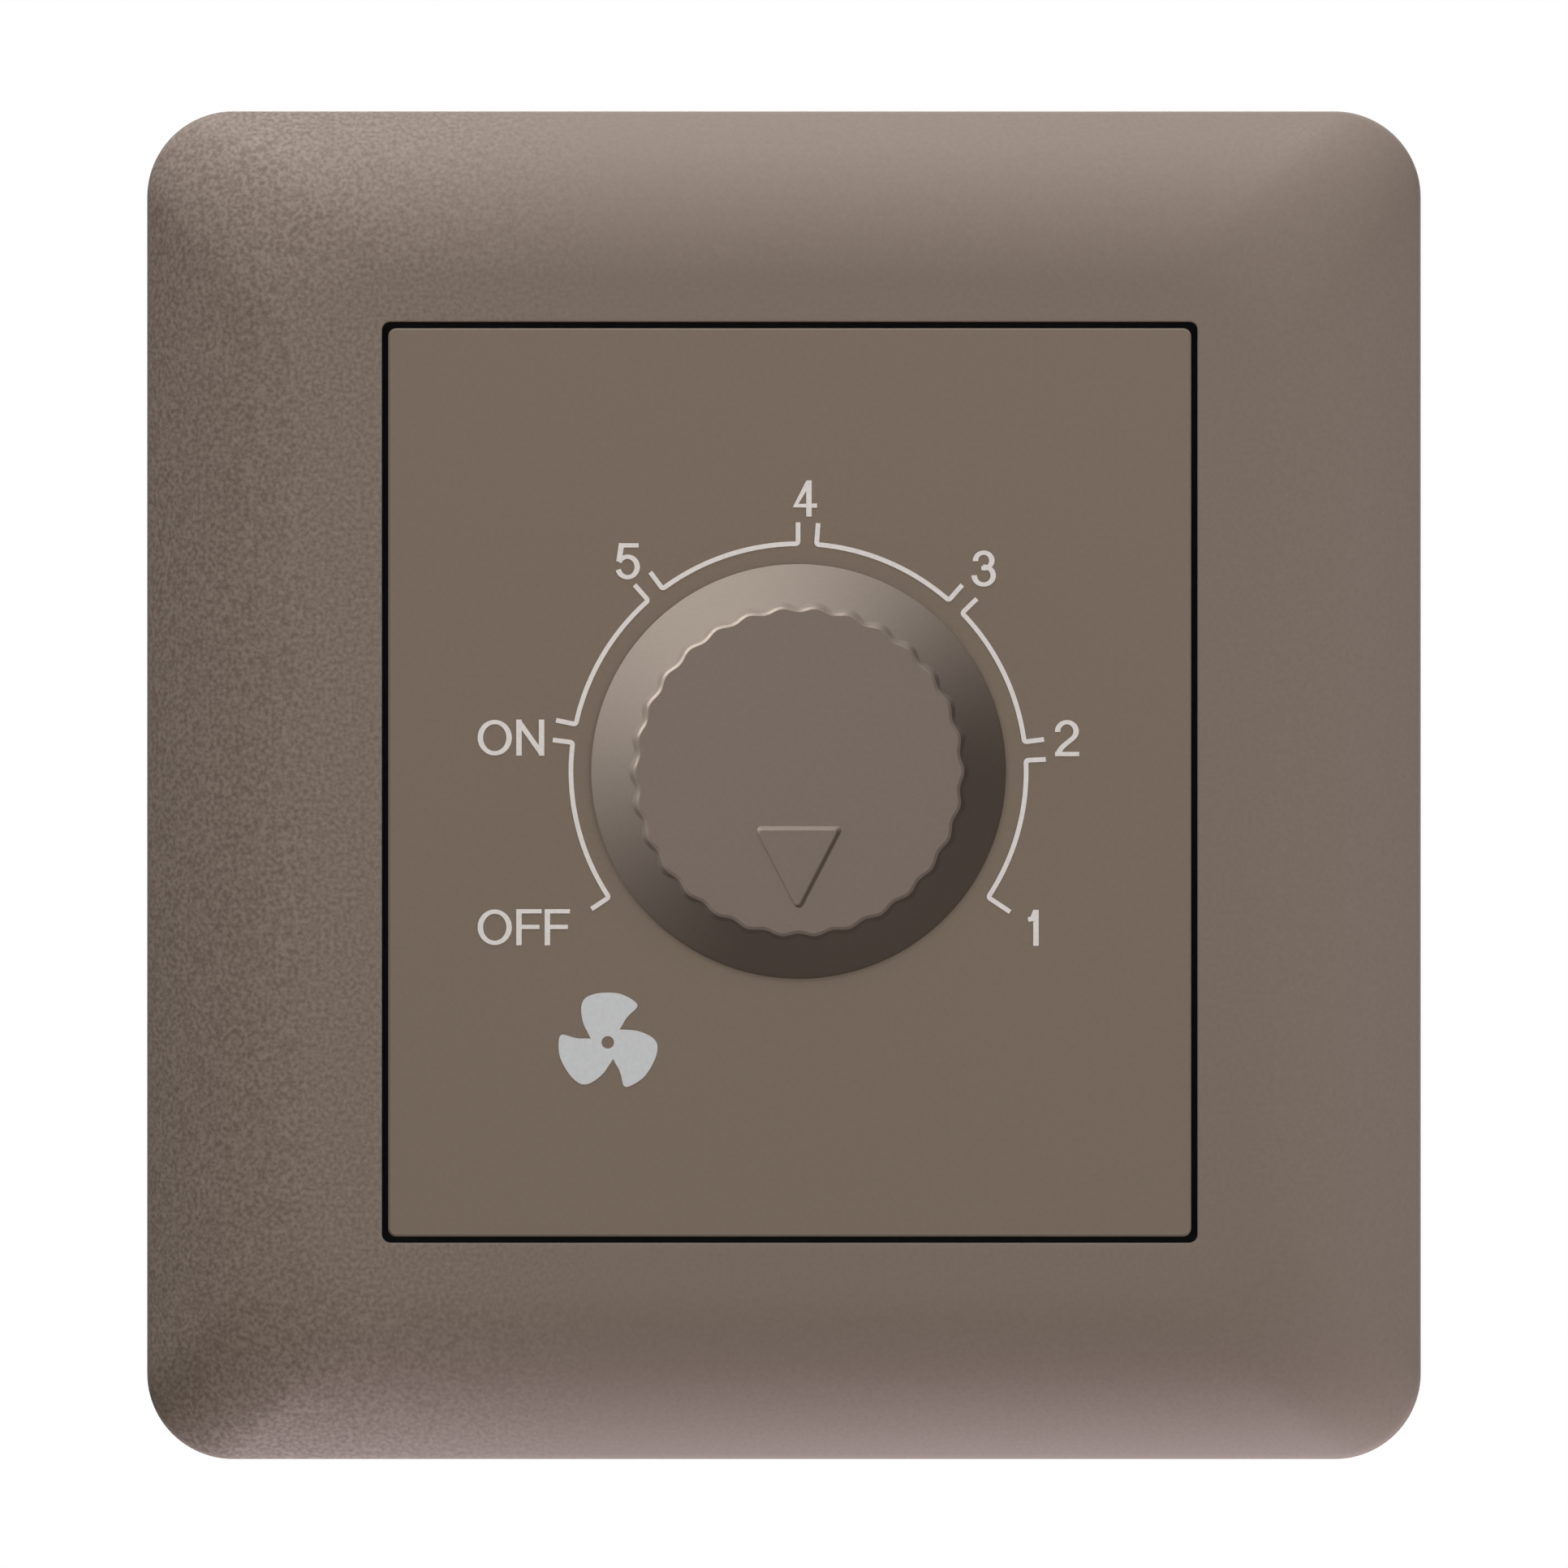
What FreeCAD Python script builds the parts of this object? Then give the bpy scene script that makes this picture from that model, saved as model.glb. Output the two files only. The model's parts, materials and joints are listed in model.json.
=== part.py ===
import FreeCAD, Part
import math
import os
import re
import Sketcher

# Driving dimensions in millimetres, degrees and counts.
# Every piece is drawn on a bench with x to the right, y up and z out of the wall.
SIZES = {
    # front frame, a pillow-crowned shell that snaps over the base
    "plate_width": 86,
    "plate_height": 91,
    "plate_depth": 9,
    "plate_corner": 5.8,
    "plate_wall": 2,
    "edge_height": 3.2,
    "edge_round": 1.5,
    "crown_inset": 11.5,
    "crown_corner": 6.5,
    "window_width": 54.9,
    "window_height": 62,
    "window_corner": 0.55,
    "window_x": 0.38,
    "window_y": 0.19,
    "window_rim": 1.2,
    "window_rim_depth": 3,
    "hook_inset": 8.4,
    "hook_y": 20,
    "hook_width": 8,
    "hook_thick": 1.2,
    "hook_end": 0.4,
    "hook_root": 1.4,
    "barb_reach": 0.7,
    "snap_gap": 0.15,
    # dial plate that carries the printed scale
    "dial_gap": 0.43,
    "dial_thick": 2,
    "dial_wall": 1.5,
    "dial_edge": 0.12,
    "leg_x": 12,
    "leg_width": 8,
    "leg_inset": 0.3,
    "leg_root": 2,
    "head_room": 2.6,
    "head_room_width": 10,
    "collar_wall": 1.2,
    "collar_height": 0.6,
    # knob and its dial axis
    "axis_x": 0.98,
    "axis_y": 0.93,
    "knob_radius": 13.95,
    "knob_shoulder": 11,
    "knob_height": 9,
    "knob_gap": 0.4,
    "knob_lip": 0.6,
    "knob_wall": 1.6,
    "knob_roof": 2.4,
    "hub_radius": 5,
    "hub_drop": 1.4,
    "hub_room": 1,
    "rib_count": 6,
    "rib_thick": 1,
    "rib_depth": 4.5,
    "grip_radius": 11.37,
    "grip_height": 0.8,
    "grip_sink": 1.3,
    "grip_draft": 0.42,
    "flute_count": 30,
    "flute_depth": 0.24,
    "flute_foot": 0.11,
    "pointer_width": 5.6,
    "pointer_length": 5.4,
    "pointer_start": 3.9,
    "pointer_height": 0.45,
    "clip_thick": 0.5,
    "clip_length": 3,
    "clip_slot": 3,
    # shaft and threaded bushing
    "shaft_radius": 3,
    "shaft_flat": 1.5,
    "flat_run": 1,
    "collar_radius": 4.2,
    "collar_thick": 1.1,
    "spigot_radius": 2,
    "spigot_length": 5.7,
    "running_gap": 0.05,
    "fit_gap": 0.05,
    "bushing_radius": 3.5,
    "bushing_flange": 1.2,
    "bushing_reach": 3.2,
    "nut_width": 10,
    "nut_thick": 2,
    "washer_radius": 5.5,
    "washer_thick": 0.5,
    # potentiometer and the switch behind it
    "case_radius": 8.5,
    "case_depth": 6,
    "case_wall": 0.5,
    "rotor_radius": 6.4,
    "rotor_thick": 2,
    "rotor_gap": 1.2,
    "wafer_thick": 1.2,
    "wiper_radius": 5.6,
    "wiper_width": 1.6,
    "switch_depth": 3.9,
    "switch_well": 1.2,
    "pin_pitch": 3.5,
    "pin_width": 1,
    "pin_thick": 0.5,
    "pin_start": 6.6,
    "pin_drop": 10,
    "switch_pin": 5,
    "tail_length": 1.4,
    "hole_gap": 0.2,
    # base housing with its flange and box
    "flange_inset": 4,
    "flange_corner": 4,
    "flange_lift": 1.6,
    "flange_thick": 2,
    "flange_rim": 1.6,
    "box_width": 50,
    "box_height": 54,
    "box_depth": 24,
    "box_corner": 2.5,
    "box_wall": 1.6,
    "floor_thick": 1.8,
    "ledge_width": 1.4,
    "post_radius": 2.6,
    "post_inset": 2.2,
    "shelf_width": 2.4,
    "shelf_reach": 2,
    "shelf_y": 10,
    "slot_spacing": 60.3,
    "slot_radius": 2,
    "slot_length": 4.4,
    "slot_pad": 2.4,
    "vent_count": 5,
    "vent_length": 22,
    "vent_width": 1.6,
    "vent_pitch": 4,
    "vent_y": 3,
    # heat sink and the screws that close the box
    "sink_thick": 1.5,
    "sink_gap": 0.2,
    "screw_radius": 1.4,
    "screw_length": 10,
    "head_radius": 2.7,
    "head_height": 1.7,
    # circuit board
    "board_thick": 1.6,
    "board_gap": 0.6,
    "notch_gap": 0.4,
    # triac bolted behind the heat sink
    "triac_x": -15.5,
    "triac_y": 3.7,
    "triac_width": 10,
    "triac_body": 9,
    "triac_length": 15.3,
    "triac_thick": 4.5,
    "tab_thick": 1.3,
    "tab_hole": 12.5,
    "lead_pitch": 2.54,
    "lead_width": 0.8,
    "lead_thick": 0.5,
    "lead_reach": 3,
    "pad_thick": 0.3,
    "pad_edge": 0.5,
    "small_nut_width": 5.5,
    "small_nut_thick": 2.4,
    "thread_end": 0.5,
    # choke and capacitors
    "choke_x": 15,
    "choke_y": 12,
    "choke_radius": 6,
    "choke_neck": 2.6,
    "choke_height": 9.5,
    "choke_rim": 1.2,
    "winding_radius": 5.4,
    "suppressor_x": 0,
    "suppressor_y": 17.5,
    "suppressor_width": 15,
    "suppressor_height": 6.5,
    "suppressor_depth": 9.5,
    "suppressor_pitch": 10,
    "timer_x": -15,
    "timer_y": -4,
    "timer_width": 7.2,
    "timer_height": 3,
    "timer_depth": 6.5,
    "timer_pitch": 5,
    "film_corner": 0.8,
    "wire_radius": 0.35,
    # axial parts
    "resistor_count": 3,
    "resistor_x": 15.5,
    "resistor_y": 2,
    "resistor_pitch": 4,
    "resistor_radius": 1.15,
    "resistor_length": 6.5,
    "diode_x": -15,
    "diode_y": -9,
    "diode_radius": 0.95,
    "diode_length": 4,
    "elbow_reach": 1.5,
    # fuse in its clips
    "fuse_y": -18.5,
    "fuse_length": 20,
    "fuse_radius": 2.6,
    "fuse_lift": 3.4,
    "cap_length": 5,
    "cap_wall": 0.2,
    "glass_wall": 0.5,
    "spring_thick": 0.4,
    "spring_width": 4,
    "spring_height": 4.8,
    "spring_flare": 0.6,
    # wire terminals
    "terminal_x": 7,
    "terminal_width": 7,
    "terminal_height": 8,
    "terminal_depth": 9,
    "terminal_gap": 0.2,
    "wire_bore": 1.8,
    "wire_depth": 3.6,
    "wire_room": 0.4,
    "clamp_radius": 1.45,
    "clamp_gap": 0.2,
    "clamp_head": 2.6,
    "clamp_head_height": 2,
    "clamp_lift": 0.3,
    "driver_room": 0.5,
    "stub_radius": 0.6,
    "stub_pitch": 4,
    "stub_sink": 0.2,
}

# Levels along z and shared outlines, written with the sheet's names
FLANGE_FRONT = "(flange_lift + flange_thick)"
HOOK_X = "(plate_width / 2 - hook_inset)"
SINK_BACK = f"({FLANGE_FRONT} - sink_thick)"
CASE_FRONT = f"({SINK_BACK} - bushing_flange)"
CASE_BACK = f"({CASE_FRONT} - case_depth)"
BOARD_FRONT = f"({CASE_BACK} - switch_depth)"
BOARD_BACK = f"({BOARD_FRONT} - board_thick)"
TAIL_END = f"({BOARD_BACK} - tail_length)"
FLOOR = "(floor_thick - box_depth)"
DIAL_BACK = "(plate_depth - dial_thick)"
KNOB_BASE = "(plate_depth + knob_gap)"
KNOB_TOP = f"({KNOB_BASE} + knob_height)"
GRIP_TOP = f"({KNOB_TOP} + grip_height)"
HUB_END = f"({KNOB_BASE} - hub_drop)"
SHAFT_END = f"({KNOB_TOP} - knob_roof)"
ROTOR_FRONT = f"({CASE_FRONT} - running_gap - collar_thick)"
WAFER_BACK = f"({CASE_BACK} + case_wall)"
WAFER_FRONT = f"({WAFER_BACK} + wafer_thick)"
FLANGE_WIDTH = "(plate_width - 2 * flange_inset)"
FLANGE_HEIGHT = "(plate_height - 2 * flange_inset)"
CAVITY_WIDTH = "(box_width - 2 * box_wall)"
CAVITY_HEIGHT = "(box_height - 2 * box_wall)"
LEDGE = "(box_wall - ledge_width)"
POST_X = f"({CAVITY_WIDTH} / 2 - post_inset)"
POST_Y = f"({CAVITY_HEIGHT} / 2 - post_inset)"
DIAL_WIDTH = "(window_width - 2 * dial_gap)"
DIAL_HEIGHT = "(window_height - 2 * dial_gap)"
LEG_OUT = f"({DIAL_HEIGHT} / 2 - leg_inset)"
LEG_IN = f"({DIAL_HEIGHT} / 2 - dial_wall)"
TAB_FRONT = f"({SINK_BACK} - pad_thick)"
TAB_BACK = f"({TAB_FRONT} - tab_thick)"
TRIAC_HOLE = "(triac_y + tab_hole)"
SCREW_HOLE = "(screw_radius + hole_gap)"
TERMINAL_LOW = f"(terminal_gap - {CAVITY_HEIGHT} / 2)"
TERMINAL_MID = f"({TERMINAL_LOW} + terminal_height / 2)"
TERMINAL_BACK = f"({BOARD_BACK} - terminal_depth)"
WIRE_LEVEL = f"({BOARD_BACK} - wire_depth)"
FUSE_LEVEL = f"({BOARD_FRONT} + fuse_lift)"
CROWN_DROP = "(plate_depth - edge_height)"
CROWN_ARC = f"((crown_inset ^ 2 + {CROWN_DROP} ^ 2) / (2 * {CROWN_DROP}))"
CROWN_SWEEP = f"asin(crown_inset / {CROWN_ARC})"
CROWN_STEPS = 5
LEVEL_TOLERANCE = 1e-6

SIDES = (-1, 1)
CORNERS = [(x, y) for x in SIDES for y in SIDES]
NAME = re.compile(r"\b[a-z]+(?:_[a-z]+)+\b")

doc = FreeCAD.newDocument("fan_speed_control")
sheet = doc.addObject("Spreadsheet::Sheet", "Sizes")
for row, (alias, number) in enumerate(SIZES.items(), start=1):
    sheet.set(f"A{row}", alias)
    sheet.set(f"B{row}", str(number))
    sheet.setAlias(f"B{row}", alias)
doc.recompute()
pieces = []


def bind(thing, prop, text):
    """Bind a property to an expression that names cells by their aliases."""
    thing.setExpression(prop, NAME.sub(r"Sizes.\g<0>", text))


def finish(thing, label, x="0", y="0"):
    """Stand a finished piece upright, z on the bench towards the room, and list it."""
    thing.Label = label
    thing.Placement = FreeCAD.Placement(FreeCAD.Vector(), FreeCAD.Rotation(FreeCAD.Vector(1, 0, 0), 90))
    bind(thing, "Placement.Base.x", x)
    bind(thing, "Placement.Base.z", y)
    pieces.append(thing)
    return thing


def new_sketch(body, plane, level="0"):
    """Start a sketch on one of the body's own origin planes, raised to a level."""
    sketch = body.newObject("Sketcher::SketchObject", f"{body.Name}_sketch")
    support = next(item for item in body.Origin.OriginFeatures if item.Role == plane)
    sketch.AttachmentSupport = (support, [""])
    sketch.MapMode = "FlatFace"
    bind(sketch, "AttachmentOffset.Base.z", level)
    return sketch


def dimension(sketch, kind, *target, text):
    """Add one driving constraint, bound to the sheet."""
    index = sketch.addConstraint(Sketcher.Constraint(kind, *target))
    bind(sketch, f"Constraints[{index}]", text)


def polygon(sketch, points):
    """Draw a closed outline through corners given as pairs of expressions."""
    count = len(points)
    turn = 2 * math.pi / count
    ring = [FreeCAD.Vector(math.cos(turn * i), math.sin(turn * i), 0) for i in range(count)]
    lines = [sketch.addGeometry(Part.LineSegment(ring[i], ring[(i + 1) % count])) for i in range(count)]
    for i, line in enumerate(lines):
        sketch.addConstraint(Sketcher.Constraint("Coincident", line, 2, lines[(i + 1) % count], 1))
    for line, start, (x, y) in zip(lines, ring, points):
        dimension(sketch, "DistanceX", -1, 1, line, 1, start.x, text=x)
        dimension(sketch, "DistanceY", -1, 1, line, 1, start.y, text=y)


def rectangle(sketch, left, right, low, high):
    """Draw a plain rectangle between four expressions."""
    polygon(sketch, [(left, low), (right, low), (right, high), (left, high)])


def circle(sketch, radius, x="0", y="0"):
    """Draw a circle."""
    item = sketch.addGeometry(Part.Circle(FreeCAD.Vector(1, 1, 0), FreeCAD.Vector(0, 0, 1), 1))
    dimension(sketch, "DistanceX", -1, 1, item, 3, 1, text=x)
    dimension(sketch, "DistanceY", -1, 1, item, 3, 1, text=y)
    dimension(sketch, "Radius", item, 1, text=radius)


def rounded(sketch, width, height, corner, x="0", y="0"):
    """Draw a rectangle with four equal round corners about a centre."""
    half, radius = 5, 1
    flat = half - radius
    ends = [(flat, half), (-flat, half), (-half, flat), (-half, -flat)]
    ends += [(-x0, -y0) for x0, y0 in ends]
    spots = [FreeCAD.Vector(x0, y0, 0) for x0, y0 in ends]
    lines = [sketch.addGeometry(Part.LineSegment(spots[i], spots[i + 1])) for i in range(0, 8, 2)]
    arcs = []
    centres = [(-flat, flat), (-flat, -flat), (flat, -flat), (flat, flat)]
    for quarter, (x0, y0) in enumerate(centres, start=1):
        ring = Part.Circle(FreeCAD.Vector(x0, y0, 0), FreeCAD.Vector(0, 0, 1), radius)
        start = quarter * math.pi / 2
        arcs.append(sketch.addGeometry(Part.ArcOfCircle(ring, start, start + math.pi / 2)))
    for i, arc in enumerate(arcs):
        sketch.addConstraint(Sketcher.Constraint("Tangent", lines[i], 2, arc, 1))
        sketch.addConstraint(Sketcher.Constraint("Tangent", arc, 2, lines[(i + 1) % 4], 1))
        sketch.addConstraint(Sketcher.Constraint("Horizontal" if i % 2 == 0 else "Vertical", lines[i]))
    for arc in arcs[1:]:
        sketch.addConstraint(Sketcher.Constraint("Equal", arcs[0], arc))
    dimension(sketch, "DistanceY", -1, 1, lines[0], 1, half, text=f"{y} + ({height}) / 2")
    dimension(sketch, "DistanceX", -1, 1, lines[1], 1, -half, text=f"{x} - ({width}) / 2")
    dimension(sketch, "DistanceY", -1, 1, lines[2], 1, -half, text=f"{y} - ({height}) / 2")
    dimension(sketch, "DistanceX", -1, 1, lines[3], 1, half, text=f"{x} + ({width}) / 2")
    dimension(sketch, "Radius", arcs[0], radius, text=corner)


def pad(body, sketch, length, back=False, middle=False):
    """Raise a sketch, towards the room unless it goes back or to both sides."""
    feature = body.newObject("PartDesign::Pad", f"{body.Name}_pad")
    feature.Profile = sketch
    feature.Reversed = back
    feature.SideType = "Symmetric" if middle else "One side"
    bind(feature, "Length", length)
    return feature


def pocket(body, sketch, depth, front=False):
    """Sink a sketch, away from the room unless it cuts to the front."""
    feature = body.newObject("PartDesign::Pocket", f"{body.Name}_pocket")
    feature.Profile = sketch
    feature.Reversed = front
    bind(feature, "Length", depth)
    return feature


def revolve(body, points):
    """Turn an outline of radius and level pairs about the bench's z axis."""
    sketch = new_sketch(body, "XZ_Plane")
    polygon(sketch, points)
    feature = body.newObject("PartDesign::Revolution", f"{body.Name}_turn")
    feature.Profile = sketch
    feature.ReferenceAxis = (sketch, ["V_Axis"])
    return feature


def new_body(name):
    """Start a PartDesign body."""
    return doc.addObject("PartDesign::Body", name)


def cylinder(name, radius, low, high, x="0", y="0"):
    """Make a cylinder along z."""
    item = doc.addObject("Part::Cylinder", name)
    bind(item, "Radius", radius)
    bind(item, "Height", f"{high} - ({low})")
    bind(item, "Placement.Base.x", x)
    bind(item, "Placement.Base.y", y)
    bind(item, "Placement.Base.z", low)
    return item


def block(name, x, y, z):
    """Make a box between three pairs of expressions."""
    item = doc.addObject("Part::Box", name)
    for prop, axis, (low, high) in (("Length", "x", x), ("Width", "y", y), ("Height", "z", z)):
        bind(item, prop, f"{high} - ({low})")
        bind(item, f"Placement.Base.{axis}", low)
    return item


def hexagon(name, width, low, high):
    """Make a six-sided prism along z, its width measured across flats."""
    item = doc.addObject("Part::Prism", name)
    item.Polygon = 6
    bind(item, "Circumradius", f"{width} / 2 / cos(30)")
    bind(item, "Height", f"{high} - ({low})")
    bind(item, "Placement.Base.z", low)
    return item


def cut(name, base, tool):
    """Take one solid out of another."""
    item = doc.addObject("Part::Cut", name)
    item.Base = base
    item.Tool = tool
    return item


def fuse(name, solids):
    """Join solids into one."""
    item = doc.addObject("Part::MultiFuse", name)
    item.Shapes = solids
    return item


def level_edges(feature, level):
    """Name the edges of a feature that lie flat at one level."""
    names = []
    for index, edge in enumerate(feature.Shape.Edges, start=1):
        box = edge.BoundBox
        if max(abs(box.ZMin - level), abs(box.ZMax - level)) < LEVEL_TOLERANCE:
            names.append(f"Edge{index}")
    return names


def crown_sections(body, arc):
    """Draw the rounded rectangles of the pillow crown, on an arc from the edge to the flat."""
    sections = []
    for step in range(CROWN_STEPS):
        share = step / (CROWN_STEPS - 1)
        angle = f"({CROWN_SWEEP} * {1 - share})"
        inset = f"(crown_inset - {arc} * sin({angle}))"
        sketch = new_sketch(body, "XY_Plane", f"plate_depth - {CROWN_ARC} + {arc} * cos({angle})")
        blend = f"plate_corner + (crown_corner - plate_corner) * {share}"
        shrink = f"({CROWN_ARC} - {arc}) * sin({angle})"
        rounded(sketch, f"plate_width - 2 * {inset}", f"plate_height - 2 * {inset}",
                f"{blend} - {shrink}")
        sections.append(sketch)
    return sections


def loft(body, kind, sections):
    """Join crown sections with a smooth skin."""
    feature = body.newObject(kind, f"{body.Name}_loft")
    feature.Profile = sections[0]
    feature.Sections = sections[1:]
    return feature


def front_frame():
    """The crowned frame round the dial plate, a shell with a window rim and four snap hooks."""
    body = new_body("front_frame")
    edge = new_sketch(body, "XY_Plane")
    rounded(edge, "plate_width", "plate_height", "plate_corner")
    pad(body, edge, "edge_height")
    crown = loft(body, "PartDesign::AdditiveLoft", crown_sections(body, CROWN_ARC))
    doc.recompute()
    ease = body.newObject("PartDesign::Fillet", "front_frame_edge")
    ease.Base = (crown, level_edges(crown, sheet.edge_height))
    bind(ease, "Radius", "edge_round")
    loft(body, "PartDesign::SubtractiveLoft", crown_sections(body, f"({CROWN_ARC} - plate_wall)"))
    edge_inset = f"(plate_wall * sin({CROWN_SWEEP}))"
    hollow = new_sketch(body, "XY_Plane")
    rounded(hollow, f"plate_width - 2 * {edge_inset}", f"plate_height - 2 * {edge_inset}",
            f"plate_corner - {edge_inset}")
    pocket(body, hollow, f"edge_height - plate_wall * cos({CROWN_SWEEP})", front=True)
    rim = new_sketch(body, "XY_Plane", "plate_depth - window_rim_depth")
    rounded(rim, "window_width + 2 * window_rim", "window_height + 2 * window_rim",
            "window_corner + window_rim", "window_x", "window_y")
    pad(body, rim, "window_rim_depth - plate_wall / 2")
    for x, y in CORNERS:
        hook = new_sketch(body, "XZ_Plane", f"{y} * hook_y")
        barb_top = "flange_lift - snap_gap"
        root = "plate_depth - hook_root"
        inside = f"{x} * ({HOOK_X} - hook_thick)"
        outside = f"{x} * {HOOK_X}"
        polygon(hook, [(inside, "hook_end"), (outside, "hook_end"),
                       (f"{x} * ({HOOK_X} + barb_reach)", barb_top), (outside, barb_top),
                       (outside, root), (inside, root)])
        pad(body, hook, "hook_width", middle=True)
    window = new_sketch(body, "XY_Plane", "plate_depth")
    rounded(window, "window_width", "window_height", "window_corner", "window_x", "window_y")
    pocket(body, window, "plate_depth")
    return finish(body, "front_frame")


def dial_plate():
    """The flat plate with the printed scale, a shallow tray held by four clip legs."""
    body = new_body("dial_plate")
    seat = f"plate_depth - {FLANGE_FRONT}"
    tray = new_sketch(body, "XY_Plane", FLANGE_FRONT)
    rounded(tray, DIAL_WIDTH, DIAL_HEIGHT, "window_corner")
    solid = pad(body, tray, seat)
    doc.recompute()
    ease = body.newObject("PartDesign::Chamfer", "dial_plate_edge")
    ease.Base = (solid, level_edges(solid, sheet.plate_depth))
    bind(ease, "Size", "dial_edge")
    inside = new_sketch(body, "XY_Plane", FLANGE_FRONT)
    rectangle(inside, f"dial_wall - {DIAL_WIDTH} / 2", f"{DIAL_WIDTH} / 2 - dial_wall",
              f"dial_wall - {DIAL_HEIGHT} / 2", f"{DIAL_HEIGHT} / 2 - dial_wall")
    pocket(body, inside, f"{seat} - dial_thick", front=True)
    centre = ("axis_x - window_x", "axis_y - window_y")
    collar = new_sketch(body, "XY_Plane", DIAL_BACK)
    circle(collar, "hub_radius + hub_room + collar_wall", *centre)
    pad(body, collar, "collar_height", back=True)
    hole = new_sketch(body, "XY_Plane", "plate_depth")
    circle(hole, "hub_radius + hub_room", *centre)
    pocket(body, hole, "dial_thick + collar_height")
    for x in SIDES:
        room = new_sketch(body, "YZ_Plane", f"{x} * {DIAL_WIDTH} / 2")
        rectangle(room, "-head_room_width / 2 - window_y", "head_room_width / 2 - window_y",
                  FLANGE_FRONT, f"{FLANGE_FRONT} + head_room")
        pocket(body, room, "dial_wall", front=x < 0)
    for x, y in CORNERS:
        leg = new_sketch(body, "YZ_Plane", f"{x} * leg_x")
        barb_top = "flange_lift - snap_gap"
        root = f"{FLANGE_FRONT} + leg_root"
        inner, outer = f"{y} * {LEG_IN}", f"{y} * {LEG_OUT}"
        polygon(leg, [(inner, "hook_end"), (outer, "hook_end"),
                      (f"{y} * ({LEG_OUT} + barb_reach)", barb_top), (outer, barb_top),
                      (outer, root), (inner, root)])
        pad(body, leg, "leg_width", middle=True)
    return finish(body, "dial_plate", "window_x", "window_y")


def flute_ring(radius, depth, level):
    """A wavy closed wire of tangent arcs, swinging in and out across its radius."""
    count = int(sheet.flute_count)
    swing = depth / 2
    half_turn = math.pi / count

    def spot(angle, out):
        return FreeCAD.Vector((radius + out) * math.sin(angle), (radius + out) * math.cos(angle), level)

    arcs = []
    for i in range(2 * count):
        start = (i + 0.5) * half_turn
        bulge = swing if i % 2 == 0 else -swing
        middle = spot(start + half_turn / 2, bulge)
        arcs.append(Part.Arc(spot(start, 0), middle, spot(start + half_turn, 0)).toShape())
    return Part.Wire(arcs)


def knob():
    """The hollow knob: a conical skirt, a fluted crown, a raised pointer and a D-bored hub."""
    skirt = new_body("knob_skirt")
    revolve(skirt, [("0", HUB_END), ("hub_radius", HUB_END), ("hub_radius", f"{KNOB_TOP} - knob_wall"),
                    ("knob_shoulder - knob_wall", f"{KNOB_TOP} - knob_wall"),
                    ("knob_radius - knob_wall", KNOB_BASE), ("knob_radius", KNOB_BASE),
                    ("knob_radius", f"{KNOB_BASE} + knob_lip"), ("knob_shoulder", KNOB_TOP),
                    ("0", KNOB_TOP)])
    rib = new_sketch(skirt, "XY_Plane", f"{KNOB_TOP} - knob_wall - rib_depth")
    rectangle(rib, "hub_radius - rib_thick / 2", "knob_shoulder - knob_wall / 2",
              "-rib_thick / 2", "rib_thick / 2")
    web = pad(skirt, rib, "rib_depth + knob_wall / 2")
    ring = skirt.newObject("PartDesign::PolarPattern", "knob_ribs")
    ring.Originals = [web]
    ring.Axis = (rib, ["N_Axis"])
    bind(ring, "Occurrences", "rib_count")
    skirt.Tip = ring
    top = sheet.plate_depth + sheet.knob_gap + sheet.knob_height
    low_ring = flute_ring(sheet.grip_radius, sheet.flute_foot, top - sheet.grip_sink)
    crown_radius = sheet.grip_radius - sheet.grip_draft
    high_ring = flute_ring(crown_radius, sheet.flute_depth, top + sheet.grip_height)
    crown = doc.addObject("Part::Feature", "knob_crown")
    crown.Shape = Part.makeLoft([low_ring, high_ring], True, True)
    pointer = new_body("knob_pointer")
    triangle = new_sketch(pointer, "XY_Plane", GRIP_TOP)
    polygon(triangle, [("-pointer_width / 2", "-pointer_start"),
                       ("0", "-pointer_start - pointer_length"),
                       ("pointer_width / 2", "-pointer_start")])
    pad(pointer, triangle, "pointer_height")
    whole = fuse("knob_solid", [skirt, crown, pointer])
    bore = cylinder("knob_bore", "shaft_radius + fit_gap", HUB_END, f"{SHAFT_END} + fit_gap")
    flat = block("knob_flat", ("shaft_flat + fit_gap", "2 * shaft_radius"),
                 ("-2 * shaft_radius", "2 * shaft_radius"), (HUB_END, KNOB_TOP))
    return finish(cut("knob", whole, cut("knob_socket", bore, flat)), "knob", "axis_x", "axis_y")


def knob_spring_clip():
    """The spring ring that closes the hub on the shaft."""
    low, high = HUB_END, f"{HUB_END} + clip_length"
    outer = cylinder("clip_outer", "hub_radius + fit_gap + clip_thick", low, high)
    inner = cylinder("clip_inner", "hub_radius + fit_gap", low, high)
    gap = block("clip_gap", ("-clip_slot / 2", "clip_slot / 2"), ("0", "2 * hub_radius"), (low, high))
    finish(cut("clip_ring", cut("clip_tube", outer, inner), gap), "knob_spring_clip", "axis_x", "axis_y")


def control_shaft():
    """The turned shaft with its collar, its spigot and the flat that drives the knob."""
    body = new_body("control_shaft")
    collar = f"{CASE_FRONT} - running_gap"
    tail = f"{ROTOR_FRONT} - spigot_length"
    revolve(body, [("0", tail), ("spigot_radius", tail), ("spigot_radius", ROTOR_FRONT),
                   ("collar_radius", ROTOR_FRONT), ("collar_radius", collar), ("shaft_radius", collar),
                   ("shaft_radius", SHAFT_END), ("0", SHAFT_END)])
    flat = new_sketch(body, "XY_Plane", SHAFT_END)
    rectangle(flat, "shaft_flat", "2 * shaft_radius", "-2 * shaft_radius", "2 * shaft_radius")
    pocket(body, flat, f"{SHAFT_END} - {HUB_END} + flat_run")
    return finish(body, "control_shaft", "axis_x", "axis_y")


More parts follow.
